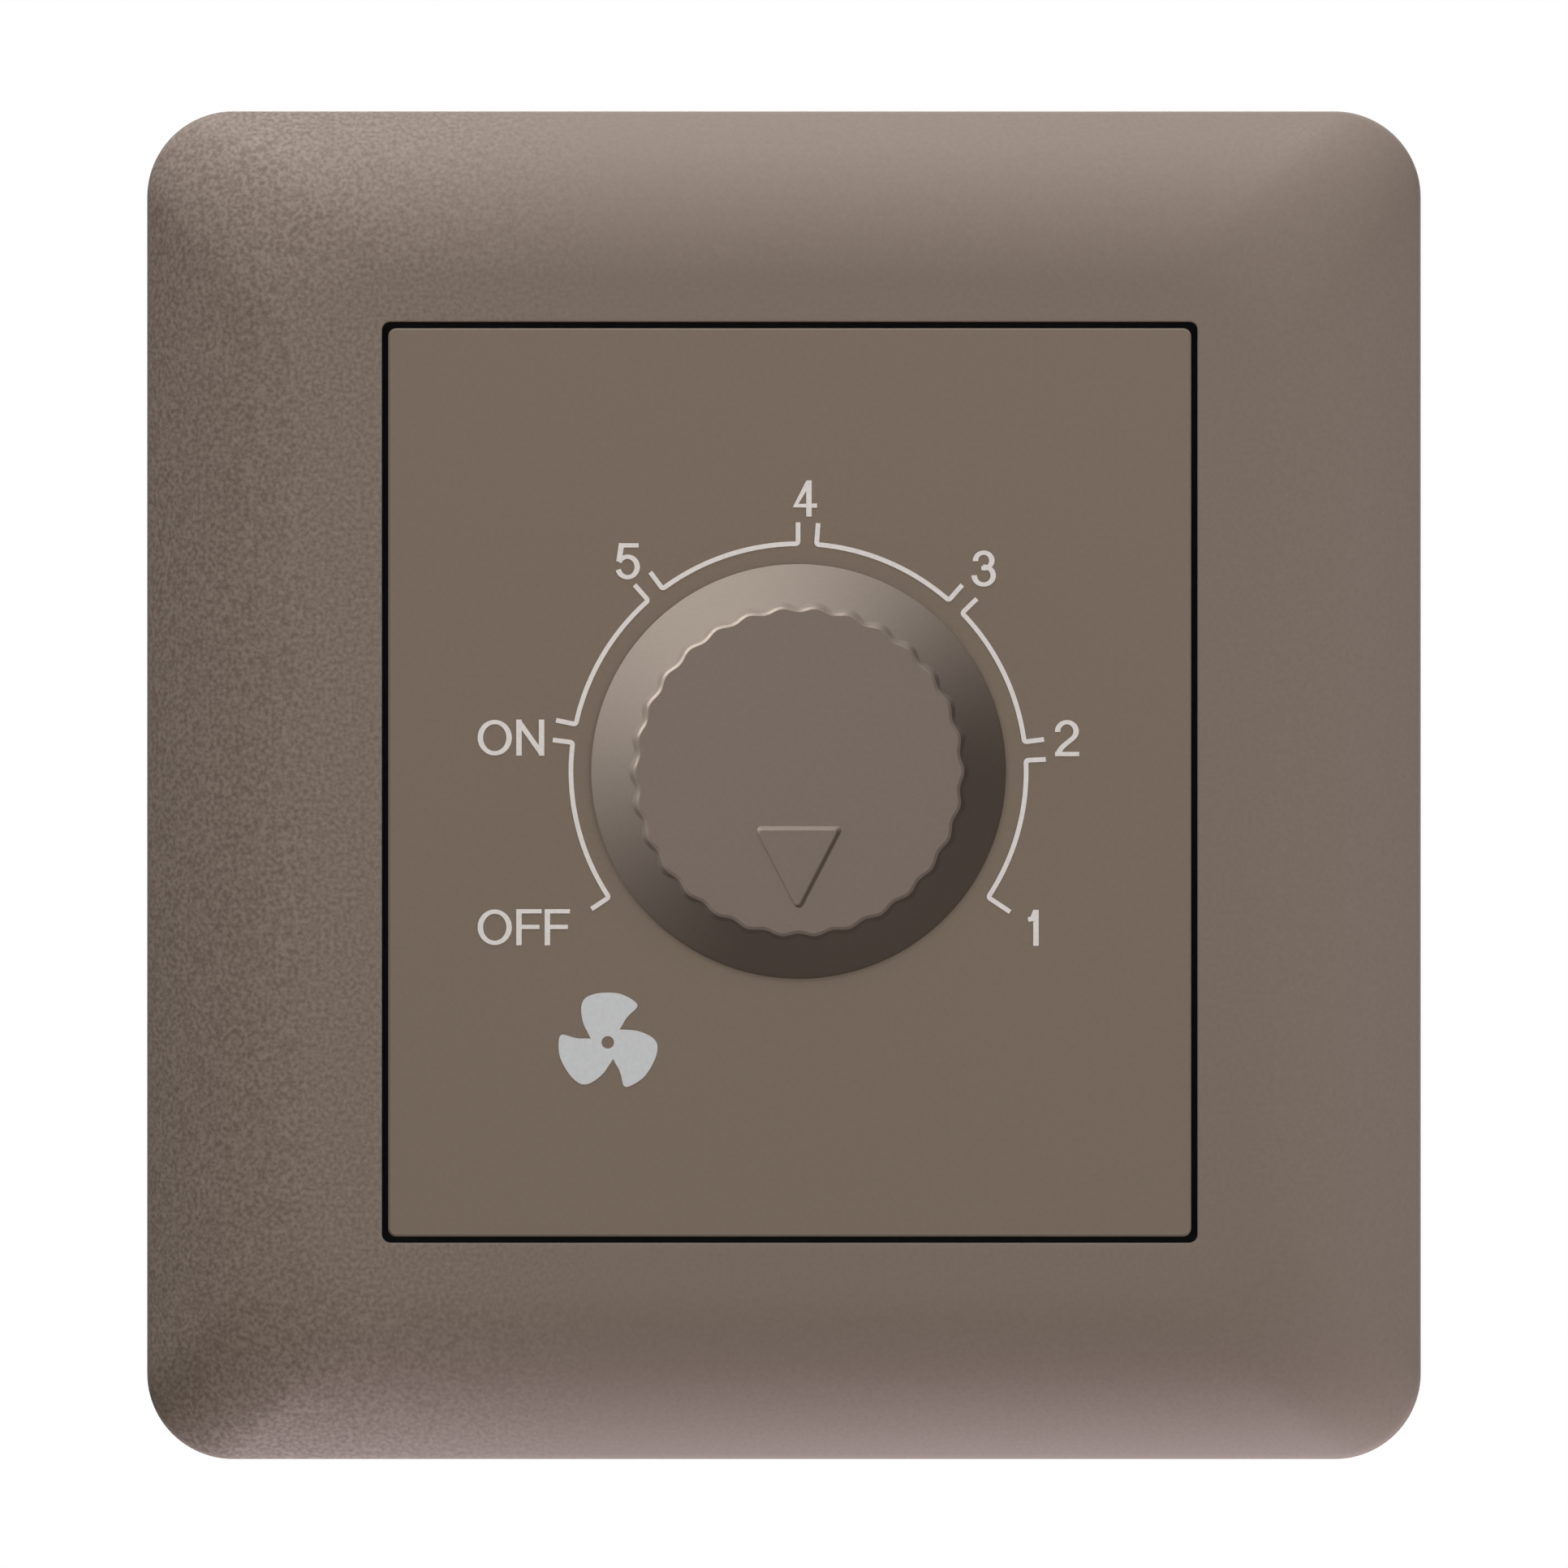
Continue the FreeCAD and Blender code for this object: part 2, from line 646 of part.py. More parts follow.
def bushing():
    """The threaded bushing whose flange closes the front of the potentiometer."""
    body = new_body("bushing")
    bore = "shaft_radius + running_gap"
    end = f"{FLANGE_FRONT} + bushing_reach"
    revolve(body, [(bore, CASE_FRONT), ("case_radius", CASE_FRONT), ("case_radius", SINK_BACK),
                   ("bushing_radius", SINK_BACK), ("bushing_radius", end), (bore, end)])
    finish(body, "bushing", "axis_x", "axis_y")
    top = f"{FLANGE_FRONT} + washer_thick"
    bolt = "bushing_radius + fit_gap"
    washer = cut("washer", cylinder("washer_disc", "washer_radius", FLANGE_FRONT, top),
                 cylinder("washer_hole", bolt, FLANGE_FRONT, top))
    finish(washer, "lock_washer", "axis_x", "axis_y")
    nut = cut("nut", hexagon("nut_blank", "nut_width", top, f"{top} + nut_thick"),
              cylinder("nut_hole", bolt, top, f"{top} + nut_thick"))
    finish(nut, "bushing_nut", "axis_x", "axis_y")


def potentiometer():
    """The drum case, the resistance wafer, the turning wiper and the mains switch behind."""
    case = new_body("pot_case")
    revolve(case, [("spigot_radius + rotor_gap", CASE_BACK), ("case_radius", CASE_BACK),
                   ("case_radius", CASE_FRONT), ("case_radius - case_wall", CASE_FRONT),
                   ("case_radius - case_wall", WAFER_BACK), ("spigot_radius + rotor_gap", WAFER_BACK)])
    door = new_sketch(case, "XZ_Plane", "case_radius")
    rectangle(door, "-pin_pitch - pin_width", "pin_pitch + pin_width", WAFER_FRONT,
              f"{WAFER_FRONT} + pin_thick + hole_gap")
    pocket(case, door, "case_radius - pin_start + case_wall")
    finish(case, "pot_case", "axis_x", "axis_y")
    disc = cylinder("wafer_disc", "case_radius - case_wall - fit_gap", WAFER_BACK, WAFER_FRONT)
    hole = cylinder("wafer_hole", "spigot_radius + rotor_gap", WAFER_BACK, WAFER_FRONT)
    finish(cut("wafer", disc, hole), "resistance_wafer", "axis_x", "axis_y")
    rotor_back = f"({ROTOR_FRONT} - rotor_thick)"
    rotor = cut("rotor", cylinder("rotor_disc", "rotor_radius", rotor_back, ROTOR_FRONT),
                cylinder("rotor_hole", "spigot_radius + fit_gap / 2", rotor_back, ROTOR_FRONT))
    finish(rotor, "wiper_rotor", "axis_x", "axis_y")
    wiper = new_body("wiper_contact")
    arm = new_sketch(wiper, "XZ_Plane")
    tip = f"{WAFER_FRONT} + running_gap"
    heel = "spigot_radius + rotor_gap"
    inner_tip = "wiper_radius - pin_thick"
    polygon(arm, [(heel, rotor_back), (heel, f"{rotor_back} - pin_thick"), (inner_tip, tip),
                  ("wiper_radius", tip), ("wiper_radius", f"{tip} + pin_thick"),
                  (inner_tip, f"{tip} + pin_thick"), (f"{heel} + pin_thick", rotor_back)])
    pad(wiper, arm, "wiper_width", middle=True)
    finish(wiper, "wiper_contact", "axis_x", "axis_y")
    well = "spigot_radius + rotor_gap"
    switch = cut("switch", cylinder("switch_drum", "case_radius", BOARD_FRONT, CASE_BACK),
                 cylinder("switch_hole", well, f"{CASE_BACK} - switch_well", CASE_BACK))
    finish(switch, "switch_case", "axis_x", "axis_y")


def control_pins():
    """Three bent tails from the wafer and two straight ones from the switch, through the board."""
    for step, place in zip(SIDES + (0,), ("left", "right", "middle")):
        tail = new_body(f"wafer_pin_{place}")
        bend = new_sketch(tail, "YZ_Plane", f"{step} * pin_pitch")
        inner = "-pin_drop"
        outer = "-pin_drop - pin_thick"
        polygon(bend, [("-pin_start", WAFER_FRONT), ("-pin_start", f"{WAFER_FRONT} + pin_thick"),
                       (outer, f"{WAFER_FRONT} + pin_thick"), (outer, TAIL_END), (inner, TAIL_END),
                       (inner, WAFER_FRONT)])
        pad(tail, bend, "pin_width", middle=True)
        finish(tail, f"wafer_pin_{place}", "axis_x", "axis_y")
    for side, place in zip(SIDES, ("left", "right")):
        tail = bar(f"switch_pin_{place}", (f"{side} * switch_pin", "pin_width"), ("0", "pin_thick"),
                   (TAIL_END, BOARD_FRONT))
        finish(tail, f"switch_pin_{place}", "axis_x", "axis_y")


def base_housing():
    """The moulded base: a rimmed flange that meets the wall and a box that sinks into the wall."""
    body = new_body("base_housing")
    plate = new_sketch(body, "XY_Plane")
    rounded(plate, FLANGE_WIDTH, FLANGE_HEIGHT, "flange_corner")
    pad(body, plate, FLANGE_FRONT)
    recess = new_sketch(body, "XY_Plane")
    rounded(recess, f"{FLANGE_WIDTH} - 2 * flange_rim", f"{FLANGE_HEIGHT} - 2 * flange_rim",
            "flange_corner - flange_rim")
    pocket(body, recess, "flange_lift", front=True)
    box = new_sketch(body, "XY_Plane", FLANGE_FRONT)
    rounded(box, "box_width", "box_height", "box_corner")
    pad(body, box, f"{FLANGE_FRONT} + box_depth", back=True)
    lugs = new_sketch(body, "XY_Plane")
    for x in SIDES:
        middle = f"{x} * slot_spacing / 2"
        reach = "(slot_length / 2 + slot_pad)"
        rectangle(lugs, f"{middle} - {reach}", f"{middle} + {reach}",
                  "-slot_radius - slot_pad", "slot_radius + slot_pad")
    pad(body, lugs, FLANGE_FRONT)
    rebate = new_sketch(body, "XY_Plane", FLANGE_FRONT)
    rectangle(rebate, f"{LEDGE} - box_width / 2", f"box_width / 2 - {LEDGE}",
              f"{LEDGE} - box_height / 2", f"box_height / 2 - {LEDGE}")
    pocket(body, rebate, "sink_thick")
    cavity = new_sketch(body, "XY_Plane", FLANGE_FRONT)
    rounded(cavity, CAVITY_WIDTH, CAVITY_HEIGHT, "box_corner - box_wall")
    pocket(body, cavity, f"{FLANGE_FRONT} - {FLOOR}")
    posts = new_sketch(body, "XY_Plane", "-box_depth + floor_thick / 2")
    pilots = new_sketch(body, "XY_Plane", SINK_BACK)
    for x, y in CORNERS:
        circle(posts, "post_radius", f"{x} * {POST_X}", f"{y} * {POST_Y}")
        circle(pilots, "screw_radius + fit_gap", f"{x} * {POST_X}", f"{y} * {POST_Y}")
    pad(body, posts, f"{SINK_BACK} + box_depth - floor_thick / 2")
    pocket(body, pilots, "screw_length")
    shelves = new_sketch(body, "XY_Plane", "-box_depth + floor_thick / 2")
    for x, y in CORNERS:
        wall = f"{x} * (box_width - box_wall) / 2"
        rectangle(shelves, wall, f"{x} * ({CAVITY_WIDTH} / 2 - shelf_reach)",
                  f"{y} * shelf_y - shelf_width / 2", f"{y} * shelf_y + shelf_width / 2")
    pad(body, shelves, f"{BOARD_BACK} + box_depth - floor_thick / 2")
    catches = new_sketch(body, "XY_Plane", FLANGE_FRONT)
    for x, y in CORNERS:
        rectangle(catches, f"{x} * ({HOOK_X} - hook_thick - snap_gap)", f"{x} * ({HOOK_X} + snap_gap)",
                  f"{y} * hook_y - hook_width / 2 - snap_gap", f"{y} * hook_y + hook_width / 2 + snap_gap")
        leg = f"window_x + {x} * leg_x"
        rectangle(catches, f"{leg} - leg_width / 2 - snap_gap", f"{leg} + leg_width / 2 + snap_gap",
                  f"window_y + {y} * ({LEG_IN} - snap_gap)", f"window_y + {y} * ({LEG_OUT} + snap_gap)")
    pocket(body, catches, "flange_thick")
    bars = new_sketch(body, "XY_Plane", FLANGE_FRONT)
    ends = new_sketch(body, "XY_Plane", FLANGE_FRONT)
    for x in SIDES:
        middle = f"{x} * slot_spacing / 2"
        shift = "slot_length / 2 - slot_radius"
        rectangle(bars, f"{middle} - ({shift})", f"{middle} + {shift}", "-slot_radius", "slot_radius")
        for side in SIDES:
            circle(ends, "slot_radius", f"{middle} + {side} * ({shift})")
    pocket(body, bars, FLANGE_FRONT)
    pocket(body, ends, FLANGE_FRONT)
    vents = new_sketch(body, "XY_Plane", "-box_depth")
    for step in range(int(sheet.vent_count)):
        level = f"vent_y + {step} * vent_pitch"
        rectangle(vents, "-vent_length / 2", "vent_length / 2",
                  f"{level} - vent_width / 2", f"{level} + vent_width / 2")
    pocket(body, vents, "floor_thick", front=True)
    drivers = new_sketch(body, "XY_Plane", "-box_depth")
    wires = new_sketch(body, "XZ_Plane", "box_height / 2")
    for x in SIDES:
        circle(drivers, "clamp_head + driver_room", f"{x} * terminal_x", TERMINAL_MID)
        circle(wires, "wire_bore + wire_room", f"{x} * terminal_x", WIRE_LEVEL)
    pocket(body, drivers, "floor_thick", front=True)
    pocket(body, wires, "box_wall")
    return finish(body, "base_housing")


def heat_sink():
    """The aluminium plate that closes the box and cools the triac, with its four screws."""
    body = new_body("heat_sink")
    plate = new_sketch(body, "XY_Plane", SINK_BACK)
    rectangle(plate, f"{LEDGE} + sink_gap - box_width / 2", f"box_width / 2 - {LEDGE} - sink_gap",
              f"{LEDGE} + sink_gap - box_height / 2", f"box_height / 2 - {LEDGE} - sink_gap")
    pad(body, plate, "sink_thick")
    holes = new_sketch(body, "XY_Plane", FLANGE_FRONT)
    circle(holes, "bushing_radius + fit_gap", "axis_x", "axis_y")
    circle(holes, SCREW_HOLE, "triac_x", TRIAC_HOLE)
    for x, y in CORNERS:
        circle(holes, SCREW_HOLE, f"{x} * {POST_X}", f"{y} * {POST_Y}")
    pocket(body, holes, "sink_thick")
    finish(body, "heat_sink")
    for count, (x, y) in enumerate(CORNERS, start=1):
        end = f"{FLANGE_FRONT} - screw_length"
        screw(f"housing_screw_{count}", end, f"{x} * {POST_X}", f"{y} * {POST_Y}")


def screw(label, end, x, y):
    """A pan-head screw seated on the heat sink."""
    head = cylinder(f"{label}_head", "head_radius", FLANGE_FRONT, f"{FLANGE_FRONT} + head_height")
    shank = cylinder(f"{label}_shank", "screw_radius", end, FLANGE_FRONT)
    finish(fuse(f"{label}_solid", [head, shank]), label, x, y)


def bar(name, x, y, z):
    """A straight rectangular pin, placed by centre and width across and by two levels."""
    body = new_body(name)
    sketch = new_sketch(body, "XY_Plane", z[0])
    (middle, width), (height, depth) = x, y
    rectangle(sketch, f"{middle} - {width} / 2", f"{middle} + {width} / 2",
              f"{height} - {depth} / 2", f"{height} + {depth} / 2")
    pad(body, sketch, f"{z[1]} - {z[0]}")
    return body


def circuit_board():
    """The board on its shelves, notched round the posts and drilled for every tail."""
    body = new_body("circuit_board")
    plate = new_sketch(body, "XY_Plane", BOARD_BACK)
    width, height = f"({CAVITY_WIDTH} / 2 - board_gap)", f"({CAVITY_HEIGHT} / 2 - board_gap)"
    rectangle(plate, f"-{width}", width, f"-{height}", height)
    pad(body, plate, "board_thick")
    notches = new_sketch(body, "XY_Plane", BOARD_FRONT)
    for x, y in CORNERS:
        rectangle(notches, f"{x} * ({POST_X} - post_radius - notch_gap)", f"{x} * {width}",
                  f"{y} * ({POST_Y} - post_radius - notch_gap)", f"{y} * {height}")
    pocket(body, notches, "board_thick")
    drills = new_sketch(body, "XY_Plane", BOARD_FRONT)
    flat_tail = "pin_width / 2 + hole_gap"
    round_tail = "wire_radius + hole_gap"
    for step in SIDES + (0,):
        circle(drills, flat_tail, f"axis_x + {step} * pin_pitch", "axis_y - pin_drop - pin_thick / 2")
        circle(drills, "lead_width / 2 + hole_gap", f"triac_x + {step} * lead_pitch",
               "triac_y - lead_reach + lead_thick / 2")
    for x in SIDES:
        circle(drills, flat_tail, f"axis_x + {x} * switch_pin", "axis_y")
        circle(drills, round_tail, f"suppressor_x + {x} * suppressor_pitch / 2", "suppressor_y")
        circle(drills, round_tail, f"timer_x + {x} * timer_pitch / 2", "timer_y")
        circle(drills, round_tail, f"diode_x + {x} * (diode_length / 2 + elbow_reach)", "diode_y")
        for step in range(int(sheet.resistor_count)):
            circle(drills, round_tail, f"resistor_x + {x} * (resistor_length / 2 + elbow_reach)",
                   f"resistor_y - {step} * resistor_pitch")
        for side in SIDES:
            stub = f"{x} * terminal_x + {side} * stub_pitch / 2"
            circle(drills, "stub_radius + fit_gap", stub, TERMINAL_MID)
    pocket(body, drills, "board_thick")
    finish(body, "circuit_board")


def triac():
    """The triac on its insulating pad, bolted through the heat sink, with three bent leads."""
    body = new_body("triac")
    side = new_sketch(body, "YZ_Plane", "triac_x")
    top, shoulder = "triac_y + triac_length", "triac_y + triac_body"
    back = f"{TAB_FRONT} - triac_thick"
    polygon(side, [("triac_y", back), ("triac_y", TAB_FRONT), (top, TAB_FRONT), (top, TAB_BACK),
                   (shoulder, TAB_BACK), (shoulder, back)])
    pad(body, side, "triac_width", middle=True)
    hole = new_sketch(body, "XY_Plane", TAB_FRONT)
    circle(hole, SCREW_HOLE, "triac_x", TRIAC_HOLE)
    pocket(body, hole, "tab_thick")
    lead_top = f"{TAB_FRONT} - triac_thick / 2"
    lead_under = f"{lead_top} - lead_thick"
    outer, inner = "triac_y - lead_reach", "triac_y - lead_reach + lead_thick"
    for step in SIDES + (0,):
        lead = new_sketch(body, "YZ_Plane", f"triac_x + {step} * lead_pitch")
        polygon(lead, [("triac_y + lead_thick", lead_top), (outer, lead_top), (outer, TAIL_END),
                       (inner, TAIL_END), (inner, lead_under), ("triac_y + lead_thick", lead_under)])
        pad(body, lead, "lead_width", middle=True)
    finish(body, "triac")
    sheet_pad = new_body("insulating_pad")
    outline = new_sketch(sheet_pad, "XY_Plane", TAB_FRONT)
    rectangle(outline, "triac_x - triac_width / 2 - pad_edge", "triac_x + triac_width / 2 + pad_edge",
              "triac_y - pad_edge", f"{top} + pad_edge")
    pad(sheet_pad, outline, "pad_thick")
    opening = new_sketch(sheet_pad, "XY_Plane", SINK_BACK)
    circle(opening, SCREW_HOLE, "triac_x", TRIAC_HOLE)
    pocket(sheet_pad, opening, "pad_thick")
    finish(sheet_pad, "insulating_pad")
    nut_end = f"({TAB_BACK} - small_nut_thick)"
    screw("triac_screw", f"{nut_end} - thread_end", "triac_x", TRIAC_HOLE)
    nut = cut("small_nut", hexagon("small_nut_blank", "small_nut_width", nut_end, TAB_BACK),
              cylinder("small_nut_hole", "screw_radius + fit_gap", nut_end, TAB_BACK))
    finish(nut, "triac_nut", "triac_x", TRIAC_HOLE)


def choke():
    """The drum-core choke and its winding."""
    core = new_body("choke_core")
    top = f"({BOARD_FRONT} + choke_height)"
    low_rim, high_rim = f"({BOARD_FRONT} + choke_rim)", f"({top} - choke_rim)"
    revolve(core, [("0", BOARD_FRONT), ("choke_radius", BOARD_FRONT), ("choke_radius", low_rim),
                   ("choke_neck", low_rim), ("choke_neck", high_rim), ("choke_radius", high_rim),
                   ("choke_radius", top), ("0", top)])
    finish(core, "choke_core", "choke_x", "choke_y")
    low, high = f"({low_rim} + fit_gap)", f"({high_rim} - fit_gap)"
    coil = cut("coil", cylinder("coil_outer", "winding_radius", low, high),
               cylinder("coil_inner", "choke_neck + fit_gap", low, high))
    finish(coil, "choke_winding", "choke_x", "choke_y")


def film_capacitor(label, stem):
    """A dipped film capacitor with two straight tails."""
    body = new_body(label)
    case = new_sketch(body, "XY_Plane", BOARD_FRONT)
    rounded(case, f"{stem}_width", f"{stem}_height", "film_corner")
    pad(body, case, f"{stem}_depth")
    tails = new_sketch(body, "XY_Plane", BOARD_FRONT)
    for x in SIDES:
        circle(tails, "wire_radius", f"{x} * {stem}_pitch / 2")
    pad(body, tails, "board_thick + tail_length", back=True)
    finish(body, label, f"{stem}_x", f"{stem}_y")


def axial_part(label, stem, x, y):
    """An axial component lying on the board, its leads bent down through it."""
    level = f"({BOARD_FRONT} + {stem}_radius)"
    reach = f"({stem}_length / 2 + elbow_reach)"
    barrel = cylinder(f"{label}_barrel", f"{stem}_radius", "0", f"{stem}_length")
    lead = cylinder(f"{label}_lead", "wire_radius", "0", f"2 * {reach}")
    for item, span in ((barrel, f"{stem}_length / 2"), (lead, reach)):
        item.Placement = FreeCAD.Placement(FreeCAD.Vector(), FreeCAD.Rotation(FreeCAD.Vector(0, 1, 0), 90))
        bind(item, "Placement.Base.x", f"-{span}")
        bind(item, "Placement.Base.z", level)
    parts = [barrel, lead]
    for side in SIDES:
        elbow = doc.addObject("Part::Sphere", f"{label}_elbow")
        bind(elbow, "Radius", "wire_radius")
        bind(elbow, "Placement.Base.x", f"{side} * {reach}")
        bind(elbow, "Placement.Base.z", level)
        parts += [elbow, cylinder(f"{label}_tail", "wire_radius", TAIL_END, level, f"{side} * {reach}")]
    finish(fuse(f"{label}_solid", parts), label, x, y)


def fuse_set():
    """The glass fuse with its end caps, held in two spring clips."""
    half = "fuse_length / 2"
    bore = "fuse_radius - cap_wall"

    def lying(name, radius, middle, length):
        item = cylinder(name, radius, "0", length)
        item.Placement = FreeCAD.Placement(FreeCAD.Vector(), FreeCAD.Rotation(FreeCAD.Vector(0, 1, 0), 90))
        bind(item, "Placement.Base.x", f"{middle} - ({length}) / 2")
        bind(item, "Placement.Base.z", FUSE_LEVEL)
        return item

    span = "fuse_length - 2 * cap_wall"
    tube = cut("tube", lying("tube_outer", f"{bore} - fit_gap", "0", span),
               lying("tube_inner", f"{bore} - fit_gap - glass_wall", "0", span))
    finish(tube, "fuse_glass", "0", "fuse_y")
    for x, place in zip(SIDES, ("left", "right")):
        middle = f"{x} * ({half} - cap_length / 2)"
        shell = lying(f"cap_outer_{place}", "fuse_radius", middle, "cap_length")
        inside = lying(f"cap_inner_{place}", bore, f"{middle} - {x} * cap_wall / 2", "cap_length - cap_wall")
        cap = cut(f"cap_{place}", shell, inside)
        finish(cap, f"fuse_cap_{place}", "0", "fuse_y")
        clip = new_body(f"fuse_clip_{place}")
        spring = new_sketch(clip, "YZ_Plane", middle)
        inner = "(fuse_radius + fit_gap)"
        outer = f"({inner} + spring_thick)"
        floor, bend = f"({BOARD_FRONT} + spring_thick)", f"({BOARD_FRONT} + spring_height)"
        tip = f"{bend} + spring_flare"
        right = [(outer, BOARD_FRONT), (outer, bend), (f"({outer} + spring_flare)", tip),
                 (f"({inner} + spring_flare)", tip), (inner, bend), (inner, floor)]
        left = [(f"-{across}", level) for across, level in reversed(right)]
        polygon(spring, right + left)
        pad(clip, spring, "spring_width", middle=True)
        finish(clip, f"fuse_clip_{place}", "0", "fuse_y")


def terminals():
    """Two brass wire terminals behind the board, each with its clamping screw."""
    for x, place in zip(SIDES, ("left", "right")):
        body = new_body(f"terminal_{place}")
        case = new_sketch(body, "XY_Plane", BOARD_BACK)
        rectangle(case, "-terminal_width / 2", "terminal_width / 2",
                  "-terminal_height / 2", "terminal_height / 2")
        pad(body, case, "terminal_depth", back=True)
        stubs = new_sketch(body, "XY_Plane", BOARD_BACK)
        for side in SIDES:
            circle(stubs, "stub_radius", f"{side} * stub_pitch / 2")
        pad(body, stubs, "board_thick - stub_sink")
        entry = new_sketch(body, "XZ_Plane", "terminal_height / 2")
        circle(entry, "wire_bore", "0", WIRE_LEVEL)
        pocket(body, entry, "terminal_height")
        thread = new_sketch(body, "XY_Plane", TERMINAL_BACK)
        circle(thread, "clamp_radius + fit_gap")
        pocket(body, thread, "terminal_depth - wire_depth", front=True)
        finish(body, f"terminal_{place}", f"{x} * terminal_x", TERMINAL_MID)
        seat = f"({TERMINAL_BACK} - clamp_lift)"
        head = cylinder(f"clamp_head_{place}", "clamp_head", f"{seat} - clamp_head_height", seat)
        tip = f"{WIRE_LEVEL} - wire_bore - clamp_gap"
        shank = cylinder(f"clamp_shank_{place}", "clamp_radius", seat, tip)
        clamp = fuse(f"clamp_{place}", [head, shank])
        finish(clamp, f"terminal_screw_{place}", f"{x} * terminal_x", TERMINAL_MID)


front_frame()
dial_plate()
knob()
knob_spring_clip()
control_shaft()
bushing()
potentiometer()
control_pins()
base_housing()
heat_sink()
circuit_board()
triac()
choke()
film_capacitor("suppression_capacitor", "suppressor")
film_capacitor("timing_capacitor", "timer")
for step in range(int(sheet.resistor_count)):
    axial_part(f"resistor_{step + 1}", "resistor", "resistor_x", f"resistor_y - {step} * resistor_pitch")
axial_part("trigger_diode", "diode", "diode_x", "diode_y")
fuse_set()
terminals()
doc.recompute()

for item in doc.Objects:
    if {"Invalid", "Error"} & set(item.State):
        raise RuntimeError(f"{item.Name} did not build: {item.State}")
for piece in pieces:
    if piece.Shape.isNull() or not piece.Shape.isValid():
        raise RuntimeError(f"{piece.Label} has no valid shape")
os.makedirs("parts", exist_ok=True)
for piece in pieces:
    piece.Shape.exportStep(f"parts/{piece.Label}.step")
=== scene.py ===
import json
import math

import bpy
import numpy as np
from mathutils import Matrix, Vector
from mathutils.geometry import tessellate_polygon


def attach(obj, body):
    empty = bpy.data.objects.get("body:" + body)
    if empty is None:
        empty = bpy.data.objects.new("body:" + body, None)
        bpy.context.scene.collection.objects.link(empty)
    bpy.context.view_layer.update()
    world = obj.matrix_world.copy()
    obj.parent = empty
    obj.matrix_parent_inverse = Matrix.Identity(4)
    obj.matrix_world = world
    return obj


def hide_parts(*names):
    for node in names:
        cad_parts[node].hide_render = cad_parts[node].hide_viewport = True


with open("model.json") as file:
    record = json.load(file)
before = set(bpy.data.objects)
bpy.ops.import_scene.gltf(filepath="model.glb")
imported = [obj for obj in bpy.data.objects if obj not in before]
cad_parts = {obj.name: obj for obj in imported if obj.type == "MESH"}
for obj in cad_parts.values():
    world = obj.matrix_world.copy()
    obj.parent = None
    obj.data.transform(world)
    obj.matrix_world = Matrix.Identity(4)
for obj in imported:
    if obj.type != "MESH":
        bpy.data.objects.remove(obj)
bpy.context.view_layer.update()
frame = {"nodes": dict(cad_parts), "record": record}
nodes = frame["nodes"]

# Lengths are in millimetres, levels count from the wall towards the room.
MM = 0.001
FULL_TURN = 2 * np.pi

# How far a piece sinks into the one that carries it
SINK = 0.05

# Front frame
PLATE_WIDTH = 86
PLATE_HEIGHT = 91
PLATE_DEPTH = 9
PLATE_CORNER = 5.8
PLATE_WALL = 2
EDGE_LEVEL = 3.2
EDGE_ROUND = 1.5
BACK_ROUND = 0.25
CROWN_INSET = 11.5
CROWN_CORNER = 6.5
WINDOW_WIDTH = 54.9
WINDOW_HEIGHT = 62
WINDOW_CORNER = 0.55
WINDOW_X = 0.38
WINDOW_Z = 0.19
WINDOW_ROUND = 0.1
WINDOW_RIM = 1.2
WINDOW_RIM_LEVEL = 6

# Snap hooks of the frame, the section as steps outwards from HOOK_X and levels
HOOK_X = 34.6
HOOK_Z = 20
HOOK_WIDTH = 8
HOOK_SECTION = [(-1.2, 0.4), (0, 0.4), (0.7, 1.45), (0, 1.45), (0, 7.6), (-1.2, 7.6)]

# Knob, about the dial axis
AXIS_X = 0.98
AXIS_Z = 0.93
KNOB_RADIUS = 13.95
KNOB_SHOULDER = 11
KNOB_BASE = 9.4
KNOB_TOP = 18.4
KNOB_LIP = 0.6
KNOB_LIP_ROUND = 2
KNOB_BACK_ROUND = 0.18
KNOB_WALL = 1.6
HUB_RADIUS = 5
HUB_END = 8
BORE_RADIUS = 3.05
BORE_FLAT = 1.55
BORE_END = 16.05
RIB_COUNT = 6
RIB_THICK = 1
RIB_LEVELS = (12.3, 17.6)
RIB_REACH = (4.5, 10.2)

# Fluted grip of the knob, with a chamfer at its top
GRIP_RADIUS = 11.37
GRIP_DRAFT = 0.42
GRIP_FOOT = 17.1
GRIP_TOP = 19.2
CHAMFER_WIDTH = 0.17
CHAMFER_TILT = math.radians(40)
CHAMFER_FOOT = GRIP_TOP - CHAMFER_WIDTH * math.tan(CHAMFER_TILT)
FLUTE_COUNT = 30
FLUTE_SWING = 0.12
FLUTE_FOOT_SWING = 0.055
FLUTE_LEAD = math.pi / FLUTE_COUNT
FLUTE_FADE = 4

# Triangle pointer, with steps outwards of its right, top and left sides, and radii from foot to crest
POINTER_TOP = 19.65
POINTER_WIDTH = 5.6
POINTER_LENGTH = 5.4
POINTER_START = 3.9
POINTER_FOOT = (0.14, 0.24, 0.06)
POINTER_CREST = (-0.16, -0.06, 0.04)
POINTER_ROUNDS = (0.3, 0.2)
POINTER_RIM = 0.06

# Terminal screws, with the turns of their driver slots in radians
SCREW_X = 7
SCREW_Z = -21.2
SCREW_HEAD = 2.6
SCREW_SHANK = 1.45
SCREW_BACK = -21.9
SCREW_SEAT = -19.9
SCREW_TIP = -16.2
SLOT_WIDTH = 0.8
SLOT_DEPTH = 0.8
SLOT_TURNS = {"left": 0.5, "right": 2.2}

